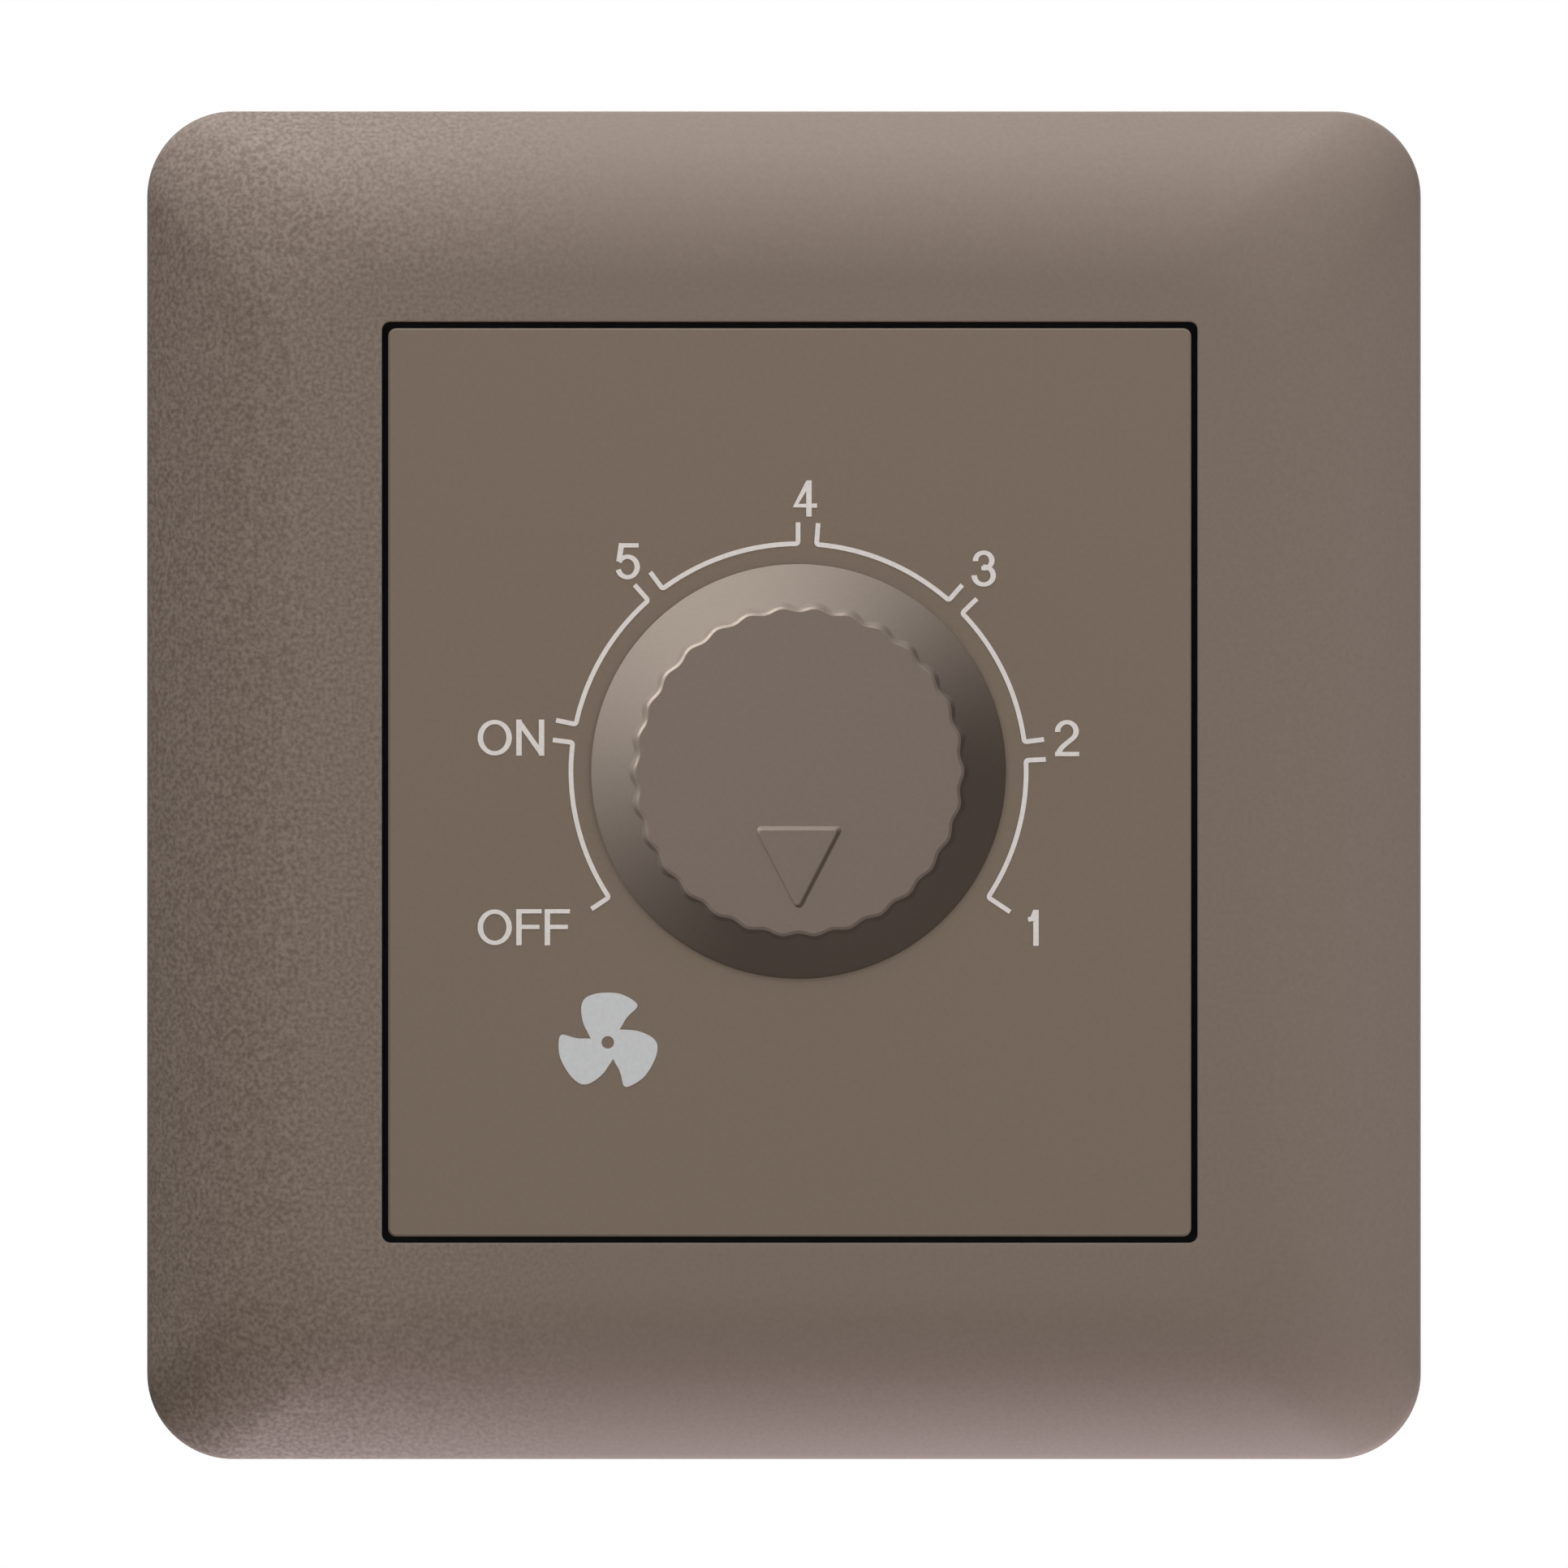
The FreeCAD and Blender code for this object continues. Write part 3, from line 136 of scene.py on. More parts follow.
# Printed scale on the dial plate, each mark with its degrees from the top and the length of its tick
DIAL_FACE = 9
PRINT_THICK = 0.03
PRINT_STEP = 0.002
SCALE_RADIUS = 15.32
SCALE_LINE = 0.315
TICK_SPLIT = 0.62
TICK_BEND = 0.2
SCALE_MARKS = [(-123.6, 1.42), (-80.4, 1.36), (-39, 1.4), (2.2, 1.44), (43.6, 1.38), (84.9, 1.34),
               (123.6, 1.78)]

# Printed signs, each with the place of its middle
CAP_HEIGHT = 2.43
STROKE = 0.365
THIN_STROKE = 0.285
SHARPEST_TURN = 1.6
SIGN_PLACES = [("4", 1.38, 19.3), ("5", -10.51, 15.07), ("3", 13.44, 14.58), ("2", 19.04, 3.17),
               ("1", 16.84, -9.6), ("O", -19.47, 3.2), ("N", -17.08, 3.2), ("O", -19.47, -9.56),
               ("F", -17.18, -9.56), ("F", -15.27, -9.56)]

# Printed fan, the outline of its upright blade as spots about the hub
FAN_HUB = (-11.86, -17.31)
FAN_HOLE = 0.42
FAN_BLADES = 3
BLADE_OUTLINE = [(-1.14, 0.25), (-1.38, 0.71), (-1.66, 1.33), (-1.79, 2.11), (-1.72, 2.67),
                 (-1.44, 3.03), (-0.88, 3.26), (-0.3, 3.34), (0.3, 3.34), (0.8, 3.27), (1.22, 3.11),
                 (1.6, 2.9), (1.86, 2.71), (1.99, 2.53), (1.96, 2.35), (1.79, 2.16), (1.52, 1.92),
                 (1.22, 1.59), (1, 1.21), (0.79, 0.87)]

# How finely the curves are divided, and the shares of the knob's rows from one end to the other
CORNER_STEPS = 24
SIDE_STEPS = 40
CROWN_STEPS = 40
ROUND_STEPS = 8
KNOB_STEPS = 24 * FLUTE_COUNT
TOP_SHARES = (0, 0.25, 0.5, 0.75, 0.9, 0.985, 1)
WALL_SHARES = (0, 0.3, 0.6, 0.9, 0.98, 1)
CONE_SHARES = (0.004, 0.05, 0.15, 0.3, 0.45, 0.6, 0.75, 0.9, 1)
POINTER_STEPS = 12
SCREW_STEPS = 48
LETTER_STEPS = 40
BLADE_STEPS = 6

# Points that agree to this many decimals become one, and edges past this angle stay sharp.
MERGE_DECIMALS = 5
SHARP_ANGLE = math.radians(30)

# Noise of the finishes, with the range that leads from the dark colour to the light one
NOISE_DETAIL = 2
NOISE_MIDDLE = 0.5
GRAIN_RANGE = (0.3, 0.7)
ROUGH_SPAN = 0.05

# How far below the grip's top the chamfer's glint ends
SHINE_MARGIN = 0.005

# Finishes, with the values that surface() takes
FINISHES = {
    # Brown paint, its grain strong at the left and faint at the right
    "frame_paint": dict(dark=(97, 84, 74), light=(124, 110, 99), size=0.3, rough=0.58, metal=0.04,
                        gloss=0.02, strength=0.2, fade=(-34, -12, 0.16)),
    # Even brown paint
    "dial_paint": dict(dark=(109, 95, 82), light=(112, 98, 85), size=0.3, rough=0.58, metal=0.04,
                       gloss=0.02, depth=0.01, strength=0.1),
    # Smooth brown paint that glints on the chamfer
    "knob_paint": dict(dark=(110, 97, 89), light=(113, 100, 92), size=0.3, rough=0.38, gloss=0,
                       depth=0.01, strength=0.03, shine=(CHAMFER_FOOT, GRIP_TOP - SHINE_MARGIN, 0.34)),
    # Cream ink of the scale and the signs
    "print_ink": dict(dark=(194, 185, 177), light=(202, 193, 185), size=0.3, rough=0.6, gloss=0.1,
                      depth=0.01, strength=0.1),
    # Grey ink of the fan
    "fan_ink": dict(dark=(177, 175, 172), light=(183, 181, 178), size=0.3, rough=0.6, gloss=0.1,
                    depth=0.01, strength=0.1),
    # Black plastic of the base
    "base_moulding": dict(dark=(11, 11, 12), light=(16, 16, 17), size=0.4, rough=0.6, gloss=0.2,
                          depth=0.03, strength=0.35),
    # Aluminium brushed across the plate
    "heat_sink_aluminium": dict(dark=(176, 177, 178), light=(204, 205, 206), size=0.5, rough=0.36,
                                metal=1, strength=0.25, stretch=(0.05, 1, 1)),
    # Grey steel of the spring clip
    "spring_steel": dict(dark=(120, 122, 128), light=(152, 154, 160), size=0.8, rough=0.34, metal=1),
    # Aluminium with fine turned rings
    "shaft_aluminium": dict(dark=(184, 185, 186), light=(210, 210, 211), size=0.5, rough=0.3, metal=1,
                            strength=0.2, stretch=(0.1, 1, 0.1)),
    # Dull zinc of the screws, nuts, bushing and potentiometer case
    "zinc_plating": dict(dark=(104, 104, 100), light=(130, 129, 123), size=0.5, rough=0.38, metal=1),
    # Brown laminate of the circuit board and the wafer
    "board_laminate": dict(dark=(128, 92, 48), light=(148, 110, 62), size=0.7, rough=0.5),
    # Dark plastic of the triac, the switch and the rotor
    "black_moulding": dict(dark=(24, 24, 26), light=(34, 34, 36), size=0.3, rough=0.55),
    # Yellow brass of the terminals, pins, fuse clips and wiper
    "brass_parts": dict(dark=(178, 140, 72), light=(206, 170, 98), size=0.9, rough=0.32, metal=1),
    # Pale blue pad under the triac
    "silicone_sheet": dict(dark=(128, 140, 150), light=(148, 160, 170), size=0.5, rough=0.65),
    # Dark core of the choke
    "ferrite": dict(dark=(44, 42, 42), light=(62, 60, 58), size=0.3, rough=0.6),
    # Copper with the grooves of its turns
    "copper_wire": dict(dark=(150, 74, 38), light=(192, 104, 58), size=0.6, rough=0.34, metal=1,
                        depth=0.1, strength=0.6, stretch=(0.06, 1, 0.06)),
    # Amber case of the capacitors
    "film_case": dict(dark=(176, 128, 40), light=(196, 148, 58), size=1.4, rough=0.42),
    # Beige lacquer of the resistors
    "resistor_body": dict(dark=(186, 160, 118), light=(204, 180, 140), size=0.8, rough=0.45),
    # Orange glass of the trigger diode
    "diode_glass": dict(dark=(150, 64, 34), light=(176, 84, 46), size=0.7, rough=0.2),
    # Clear glass of the fuse
    "fuse_tube": dict(dark=(206, 216, 214), light=(226, 234, 232), size=1, rough=0.12, glass=0.9),
}

# Floor and world
WHITE = (1, 1, 1, 1)
FLOOR_REACH = 900
FLOOR_FADE = (300, 850)
FLOOR_LEVEL = -78
FLOOR_GRAIN = 6
FLOOR_TONES = ((232, 232, 232), (240, 240, 240))
FLOOR_ROUGH = 0.8
FLOOR_GLOW = 0.6
WORLD_LIGHT = 0.06

# Tints of the lamps
COOL_LIGHT = (0.92, 1, 1.13)
VIOLET_LIGHT = (0.94, 0.96, 1.2)
KNOB_LIGHT = (0.9, 1, 1.02)

# Lamps: spot, aim, width, height and level
KEY_REACH = 500
KEY_ANGLE = math.radians(330)
KEY_FRONT = 118
KEY_SPOT = (KEY_REACH * math.sin(KEY_ANGLE), -KEY_FRONT, KEY_REACH * math.cos(KEY_ANGLE))
FRONT_FILL = ((20, -1200, 60), (0, 0, 0), 800, 800, 0.785)
OVERHEAD = ((-150, -60, 600), (0, 0, 45), 500, 240, 2.4)
UNDERNEATH = ((110, 100, -500), (0, 0, -45), 400, 160, 2.4)
RIGHT_SIDE = ((480, -200, 0), (43, 0, 0), 160, 400, 0.54)
KNOB_KEY = (KEY_SPOT, (0, -14, 0), 150, 900, 3.35)
BACK_FILL = ((300, 900, 300), (0, 0, 0), 700, 700, 0.7)

# Camera in front of the part, with the width that it sees at the middle level
SENSOR_WIDTH = 36
VIEW_WIDTH = 105.7
CAMERA_DISTANCE = 2000
CAMERA_LIFT = 0.08
CAMERA_END = 20000
MID_LEVEL = 6


def add_piece(name, points, quads, body, slot):
    """One mesh from tables of points and four-cornered faces. Points that fall together, at a seam or
    a pole, become one, and the faces turn outwards when their summed volume is negative. A face with
    a corner that is the same as the next becomes a triangle, and one with two such corners goes."""
    a, b, c, d = (points[quads[:, k]] for k in range(4))
    volume = np.sum(a * (np.cross(b, c) + np.cross(c, d)))
    quads = quads if volume > 0 else quads[:, ::-1]
    spots, numbers = np.unique(np.round(points, MERGE_DECIMALS), axis=0, return_inverse=True)
    corners = numbers.reshape(-1)[quads]
    differs = corners != np.roll(corners, -1, axis=1)
    three = differs.sum(axis=1) == 3
    faces = corners[differs.all(axis=1)].tolist()
    faces += corners[three][differs[three]].reshape(-1, 3).tolist()
    mesh = bpy.data.meshes.new(name)
    mesh.from_pydata((spots * MM).tolist(), [], faces)
    mesh.validate()
    mesh.shade_smooth()
    mesh.set_sharp_from_angle(angle=SHARP_ANGLE)
    piece = bpy.data.objects.new(name, mesh)
    bpy.context.scene.collection.objects.link(piece)
    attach(piece, body)
    return piece


def lattice(rows, columns, wrap_rows, wrap_columns):
    """Faces of a grid: each spot with its neighbours to the right and below, wrapped where closed."""
    number = np.arange(rows * columns).reshape(rows, columns)
    below = np.roll(number, -1, axis=0)
    faces = np.stack([number, np.roll(number, -1, 1), np.roll(below, -1, 1), below], axis=-1)
    last_row = rows if wrap_rows else rows - 1
    last_column = columns if wrap_columns else columns - 1
    return faces[:last_row, :last_column].reshape(-1, 4)


def joined(tables):
    """Several tables of points and faces as one, the face numbers moved on by the points before."""
    starts = np.cumsum([0] + [len(points) for points, quads in tables])
    points = np.concatenate([points for points, quads in tables])
    quads = np.concatenate([quads + start for (_, quads), start in zip(tables, starts)])
    return points, quads


def in_room(x, z, level):
    """Stack three tables as points of the room: x to the right, the level towards -y, z up."""
    return np.stack(np.broadcast_arrays(x, -level, z), axis=-1)


def rounded_rings(rows):
    """Rounded rectangles, one per row of width, height, corner radius, centre x, centre z and level:
    four quarter circles about the corner centres, with evenly divided straight sides between them."""
    columns = np.asarray(rows, float).T[:, :, None, None]
    width, height, corner, x, z, level = columns
    side_x = np.array([1, -1, -1, 1])[None, :, None]
    side_z = np.array([1, 1, -1, -1])[None, :, None]
    quarter = np.arange(4)[:, None] * np.pi / 2 + np.linspace(0, np.pi / 2, CORNER_STEPS + 1)
    arc_x = x + side_x * (width / 2 - corner) + corner * np.cos(quarter)[None]
    arc_z = z + side_z * (height / 2 - corner) + corner * np.sin(quarter)[None]
    share = np.linspace(0, 1, SIDE_STEPS + 1)[1:-1]
    line_x = arc_x[:, :, -1:] * (1 - share) + np.roll(arc_x, -1, axis=1)[:, :, :1] * share
    line_z = arc_z[:, :, -1:] * (1 - share) + np.roll(arc_z, -1, axis=1)[:, :, :1] * share
    ring_x = np.concatenate([arc_x, line_x], axis=2).reshape(len(rows), -1)
    ring_z = np.concatenate([arc_z, line_z], axis=2).reshape(len(rows), -1)
    return in_room(ring_x, ring_z, level[:, 0])


def prism(outline, start, end):
    """A prism: a closed outline in two coordinates, repeated at its two ends and capped by fans from
    the outline's middle."""
    outline = np.asarray(outline, float)
    middle = np.repeat(outline.mean(axis=0)[None], len(outline), axis=0)
    rings = np.stack([middle, outline, outline, middle])
    places = np.repeat(np.array([start, start, end, end], float)[:, None], len(outline), axis=1)
    points = np.concatenate([rings, places[..., None]], axis=-1).reshape(-1, 3)
    return points, lattice(4, len(outline), False, True)


def front_frame():
    """The crowned frame. Its section is carried round the plate as a stack of rounded rectangles: up
    the edge, over a fillet and a circular crown, across the flat, down the window and back along the
    inside. The snap hooks are prisms on its two long walls."""
    drop = PLATE_DEPTH - EDGE_LEVEL
    arc = (CROWN_INSET ** 2 + drop ** 2) / (2 * drop)
    middle = PLATE_DEPTH - arc
    sweep = math.asin(CROWN_INSET / arc)
    fillet_level = middle + math.sqrt((arc - EDGE_ROUND) ** 2 - (CROWN_INSET - EDGE_ROUND) ** 2)
    meet = math.atan2(CROWN_INSET - EDGE_ROUND, fillet_level - middle)

    def plate(inset, corner, level):
        return (PLATE_WIDTH - 2 * inset, PLATE_HEIGHT - 2 * inset, corner, 0, 0, level)

    def window(out, level):
        return (WINDOW_WIDTH + 2 * out, WINDOW_HEIGHT + 2 * out, WINDOW_CORNER + out,
                WINDOW_X, WINDOW_Z, level)

    def crown(angle, radius):
        inset = CROWN_INSET - radius * math.sin(angle)
        corner = CROWN_CORNER + (PLATE_CORNER - CROWN_CORNER) * angle / sweep
        shrink = (arc - radius) * math.sin(angle)
        return plate(inset, corner - shrink, middle + radius * math.cos(angle))

    def between(first, last, steps):
        share = np.linspace(0, 1, steps + 1)[1:-1, None]
        return (np.array(first) * (1 - share) + np.array(last) * share).tolist()

    inner = arc - PLATE_WALL
    lip = PLATE_WALL * math.sin(sweep)
    quarter = np.linspace(0, np.pi / 2, ROUND_STEPS + 1)
    rows = [plate(BACK_ROUND * (1 - math.sin(a)), PLATE_CORNER - BACK_ROUND * (1 - math.sin(a)),
                  BACK_ROUND * (1 - math.cos(a))) for a in quarter]
    rows += [plate(EDGE_ROUND * (1 - math.sin(a)), PLATE_CORNER, fillet_level + EDGE_ROUND * math.cos(a))
             for a in np.linspace(np.pi / 2, meet, ROUND_STEPS + 1)]
    rows += [crown(a, arc) for a in np.linspace(meet, 0, CROWN_STEPS + 1)[1:]]
    rows += between(rows[-1], window(WINDOW_ROUND, PLATE_DEPTH), ROUND_STEPS)
    rows += [window(WINDOW_ROUND * (1 - math.sin(a)), PLATE_DEPTH - WINDOW_ROUND * (1 - math.cos(a)))
             for a in quarter]
    rows += [window(0, WINDOW_RIM_LEVEL), window(WINDOW_RIM, WINDOW_RIM_LEVEL),
             window(WINDOW_RIM, PLATE_DEPTH - PLATE_WALL)]
    rows += [crown(a, inner) for a in np.linspace(0, sweep, ROUND_STEPS + 1)]
    rows += [plate(lip, PLATE_CORNER - lip, 0)]
    rings = rounded_rings(rows)
    tables = [(rings.reshape(-1, 3), lattice(*rings.shape[:2], True, True))]
    for side in (-1, 1):
        section = [(side * (HOOK_X + out), level) for out, level in HOOK_SECTION]
        for place in (-HOOK_Z, HOOK_Z):
            points, quads = prism(section, place - HOOK_WIDTH / 2, place + HOOK_WIDTH / 2)
            hook = in_room(points[:, 0], points[:, 2], points[:, 1])
            tables.append((hook, quads if side > 0 else quads[:, ::-1]))
    piece = add_piece("frame_shell", *joined(tables), "base", "frame_paint")
    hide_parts("front_frame")
    return piece


def knob_body():
    """The knob. Rows of radius and level turn about the dial axis: the flat top, its chamfer, the
    fluted wall, the cone, its rounded lip and the hollow inside down to the bore. A cosine swings the
    fluted rows in and out, on the top by a power of the share of its radius, and the wall ends at the
    level where its radius is the cone's, which differs from angle to angle. The bore's radius stops at
    the flat of its D. The ribs are prisms in the hollow."""
    turn = np.arange(KNOB_STEPS) * FULL_TURN / KNOB_STEPS
    wave = np.cos(FLUTE_COUNT * (turn - FLUTE_LEAD))
    still = np.zeros(KNOB_STEPS)
    lip_level = KNOB_BASE + KNOB_LIP
    cone_slope = (KNOB_RADIUS - KNOB_SHOULDER) / (KNOB_TOP - lip_level)
    wall_slope = GRIP_DRAFT / (GRIP_TOP - GRIP_FOOT)
    swing_slope = (FLUTE_SWING - FLUTE_FOOT_SWING) / (GRIP_TOP - GRIP_FOOT)

    def cone(level):
        return KNOB_RADIUS - cone_slope * (level - lip_level)

    def wall(level):
        height = level - GRIP_FOOT
        return GRIP_RADIUS - wall_slope * height + wave * (FLUTE_FOOT_SWING + swing_slope * height)

    overlap = cone(GRIP_FOOT) - GRIP_RADIUS - wave * FLUTE_FOOT_SWING
    meet = GRIP_FOOT + overlap / (cone_slope - wall_slope + wave * swing_slope)
    crown = GRIP_RADIUS - GRIP_DRAFT - CHAMFER_WIDTH
    rows = [(crown * share + wave * FLUTE_SWING * share ** FLUTE_FADE, still + GRIP_TOP)
            for share in TOP_SHARES]
    for share in WALL_SHARES:
        level = CHAMFER_FOOT * (1 - share) + meet * share
        rows.append((wall(level), level))
    tilt = math.atan(cone_slope)
    round_level = lip_level - KNOB_LIP_ROUND * math.tan(tilt / 2)
    cone_end = round_level + KNOB_LIP_ROUND * math.sin(tilt)
    for share in CONE_SHARES:
        level = meet * (1 - share) + cone_end * share
        rows.append((cone(level), level))
    for angle in np.linspace(tilt, 0, ROUND_STEPS + 1)[1:]:
        rows.append((still + KNOB_RADIUS - KNOB_LIP_ROUND * (1 - math.cos(angle)),
                     still + round_level + KNOB_LIP_ROUND * math.sin(angle)))
    for angle in np.linspace(0, np.pi / 2, ROUND_STEPS + 1):
        rows.append((still + KNOB_RADIUS - KNOB_BACK_ROUND * (1 - math.cos(angle)),
                     still + KNOB_BASE + KNOB_BACK_ROUND * (1 - math.sin(angle))))
    ceiling = KNOB_TOP - KNOB_WALL
    for radius, level in ((KNOB_RADIUS - KNOB_WALL, KNOB_BASE), (KNOB_SHOULDER - KNOB_WALL, ceiling),
                          (HUB_RADIUS, ceiling), (HUB_RADIUS, HUB_END)):
        rows.append((still + radius, still + level))
    flat = BORE_FLAT / np.maximum(np.sin(turn), BORE_FLAT / BORE_RADIUS)
    rows += [(flat, still + HUB_END), (flat, still + BORE_END), (still, still + BORE_END)]
    reach = np.stack([radius for radius, level in rows])
    levels = np.stack([level for radius, level in rows])
    skin = in_room(AXIS_X + reach * np.sin(turn), AXIS_Z + reach * np.cos(turn), levels)
    tables = [(skin.reshape(-1, 3), lattice(len(rows), KNOB_STEPS, False, True))]
    near, far = RIB_REACH
    half = RIB_THICK / 2
    points, quads = prism([(near, -half), (far, -half), (far, half), (near, half)], *RIB_LEVELS)
    for angle in np.arange(RIB_COUNT) * FULL_TURN / RIB_COUNT:
        x = points[:, 0] * math.cos(angle) - points[:, 1] * math.sin(angle)
        z = points[:, 0] * math.sin(angle) + points[:, 1] * math.cos(angle)
        tables.append((in_room(AXIS_X + x, AXIS_Z + z, points[:, 2]), quads))
    piece = add_piece("knob_body", *joined(tables), "knob", "knob_paint")
    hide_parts("knob")
    return piece


def knob_pointer():
    """The raised triangle. Each ring is bounded by three lines, the right, top and left sides, which
    move in from the foot to the crest, with its corners rounded by arcs about the meeting points of
    the lines moved in by their radius. The level rises with the share as half a cosine wave, and a
    narrow rim on the crest leads to its flat, which closes at the middle."""
    lean = math.atan2(POINTER_WIDTH / 2, POINTER_LENGTH)
    facing = np.array([-lean, np.pi / 2, np.pi + lean])
    normals = np.stack([np.cos(facing), np.sin(facing)], axis=-1)
    side = (POINTER_START + POINTER_LENGTH) * math.sin(lean)
    lines = np.array([side, -POINTER_START, side])
    share = np.append(np.linspace(0, 1, POINTER_STEPS + 1), 1)[:, None]
    place = lines + np.array(POINTER_FOOT) * (1 - share) + np.array(POINTER_CREST) * share
    place[-1] -= POINTER_RIM
    radius = POINTER_ROUNDS[0] * (1 - share) + POINTER_ROUNDS[1] * share
    level = GRIP_TOP + (POINTER_TOP - GRIP_TOP) * (1 - np.cos(np.pi * share)) / 2
    pairs = np.stack([normals, np.roll(normals, -1, axis=0)], axis=1)
    bounds = np.stack([place - radius, np.roll(place, -1, axis=1) - radius], axis=-1)
    centres = np.linalg.solve(pairs[None], bounds[..., None])[..., 0]
    swing = (np.roll(facing, -1) - facing) % FULL_TURN
    angle = facing[:, None] + swing[:, None] * np.linspace(0, 1, ROUND_STEPS + 1)
    x = (centres[..., :1] + radius[..., None] * np.cos(angle)).reshape(len(share), -1)
    z = (centres[..., 1:] + radius[..., None] * np.sin(angle)).reshape(len(share), -1)
    rings = in_room(x, z, level)
    foot = rings[:1] + (0, SINK, 0)
    low, high = (np.repeat(ring.mean(axis=1, keepdims=True), x.shape[1], axis=1)
                 for ring in (foot, rings[-1:]))
    points = np.concatenate([low, foot, rings, high]) + (AXIS_X, 0, AXIS_Z)
    quads = lattice(*points.shape[:2], False, True)
    return add_piece("knob_pointer", points.reshape(-1, 3), quads, "knob", "knob_paint")


def terminal_screw(place, x):
    """A terminal screw. The shank and the inner part of the head are round prisms, and two round
    segments, cut off by chords either side of the driver slot, are the outer part of the head."""
    turn = np.arange(SCREW_STEPS) * FULL_TURN / SCREW_STEPS
    circle = np.stack([np.cos(turn), np.sin(turn)], axis=-1)
    slot_floor = SCREW_BACK + SLOT_DEPTH
    shapes = [(SCREW_SHANK * circle, SCREW_SEAT, SCREW_TIP),
              (SCREW_HEAD * circle, slot_floor, SCREW_SEAT)]
    chord = math.asin(SLOT_WIDTH / 2 / SCREW_HEAD)
    bow = np.linspace(chord, np.pi - chord, SCREW_STEPS) + SLOT_TURNS[place]
    for angle in (bow, bow + np.pi):
        segment = SCREW_HEAD * np.stack([np.cos(angle), np.sin(angle)], axis=-1)
        shapes.append((segment, SCREW_BACK, slot_floor + SINK))
    tables = []
    for outline, start, end in shapes:
        points, quads = prism(outline, start, end)
        tables.append((in_room(x + points[:, 0], SCREW_Z + points[:, 1], points[:, 2]), quads))
    piece = add_piece(f"clamp_screw_{place}", *joined(tables), "base", "zinc_plating")
    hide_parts(f"terminal_screw_{place}")
    return piece


def ribbon(path, upright, level_width, lift):
    """A printed line: a flat rectangle carried along a path on the dial plate. Each spot moves out by
    half the width along the mean of its two sides' normals, lengthened at corners so that the width
    holds. The width goes by the square of the path's rise from its value on level runs to that on
    upright ones."""
    path = np.asarray(path, float)
    closed = np.allclose(path[0], path[-1])
    path = path[:-1] if closed else path
    ahead = np.roll(path, -1, axis=0) - path
    if not closed:
        ahead[-1] = ahead[-2]
    behind = np.roll(ahead, 1, axis=0)
    if not closed:
        behind[0] = ahead[0]
    ahead /= np.linalg.norm(ahead, axis=1, keepdims=True)
    behind /= np.linalg.norm(behind, axis=1, keepdims=True)
    side = np.stack([-ahead[:, 1] - behind[:, 1], ahead[:, 0] + behind[:, 0]], axis=-1)
    side /= np.maximum(np.sum(side * side, axis=1, keepdims=True), SHARPEST_TURN) / 2
    width = level_width + (upright - level_width) * ahead[:, 1:] ** 2
    left = path + side * width / 2
    right = path - side * width / 2
    low = DIAL_FACE - SINK
    high = DIAL_FACE + lift
    section = [in_room(edge[:, 0], edge[:, 1], np.full(len(path), level))
               for edge, level in ((left, low), (left, high), (right, high), (right, low))]
    points = np.stack(section, axis=1)
    if closed:
        return points.reshape(-1, 3), lattice(len(path), 4, True, True)
    caps = [np.repeat(points[end].mean(axis=0)[None, None], 4, axis=1) for end in (0, -1)]
    points = np.concatenate([caps[0], points, caps[1]])
    return points.reshape(-1, 3), lattice(len(path) + 2, 4, False, True)


def oval(x, z, radius_x, radius_z, start, end):
    """Spots on an ellipse between two angles in degrees, counted from the right, upwards."""
    angle = np.radians(np.linspace(start, end, LETTER_STEPS))
    return np.stack([x + radius_x * np.cos(angle), z + radius_z * np.sin(angle)], axis=-1)


def bezier(a, b, c, d):
    """Spots on a cubic curve from a to d, drawn towards b and c."""
    t = np.linspace(0, 1, LETTER_STEPS)[:, None]
    a, b, c, d = (np.array(spot, float) for spot in (a, b, c, d))
    return (1 - t) ** 3 * a + 3 * t * (1 - t) ** 2 * b + 3 * t ** 2 * (1 - t) * c + t ** 3 * d


def sign_strokes():
    """Strokes of the signs about their middles: an oval for O, straight lines for N, F, 1 and 4, and
    ovals with straight lines for 2, 3 and 5, with a cubic curve in 2."""
    cap = CAP_HEIGHT / 2
    top = cap - THIN_STROKE / 2
    two = np.concatenate([oval(0, 0.46, 0.62, top - 0.46, 184, -28),
                          bezier((0.55, 0.17), (0.3, -0.22), (-0.5, -0.5), (-0.62, 0.02 - cap))[1:]])
    return {
        "O": [oval(0, 0, 0.97, top - 0.02, 0, 360)],
        "N": [[(-0.76, -cap), (-0.76, cap)], [(0.76, -cap), (0.76, cap)],
              [(-0.72, cap - 0.2), (0.72, 0.2 - cap)]],
        "F": [[(-0.66, -cap), (-0.66, cap)], [(-0.66, top), (0.86, top)],
              [(-0.66, 0.02), (0.72, 0.02)]],
        "1": [[(0.12, -cap), (0.12, cap)], [(-0.42, 0.55), (-0.1, 0.62), (0.1, cap - 0.08)]],
        "2": [two, [(-0.8, -top), (0.83, -top)]],
        "3": [oval(0, 0.54, 0.55, top - 0.54, 184, -92), oval(0, -0.47, 0.64, top - 0.47, 93, -182),
              [(-0.16, 0.03), (0.06, 0.03)]],
        "4": [[(0.3, -cap), (0.3, cap)], [(0.84, -0.48), (-0.6, -0.48), (0.24, cap - 0.16)]],
        "5": [[(0.72, top), (-0.5, top)], [(-0.42, cap), (-0.6, -0.02)],
              oval(-0.02, -0.38, 0.65, top - 0.38, 152, -165)],
    }


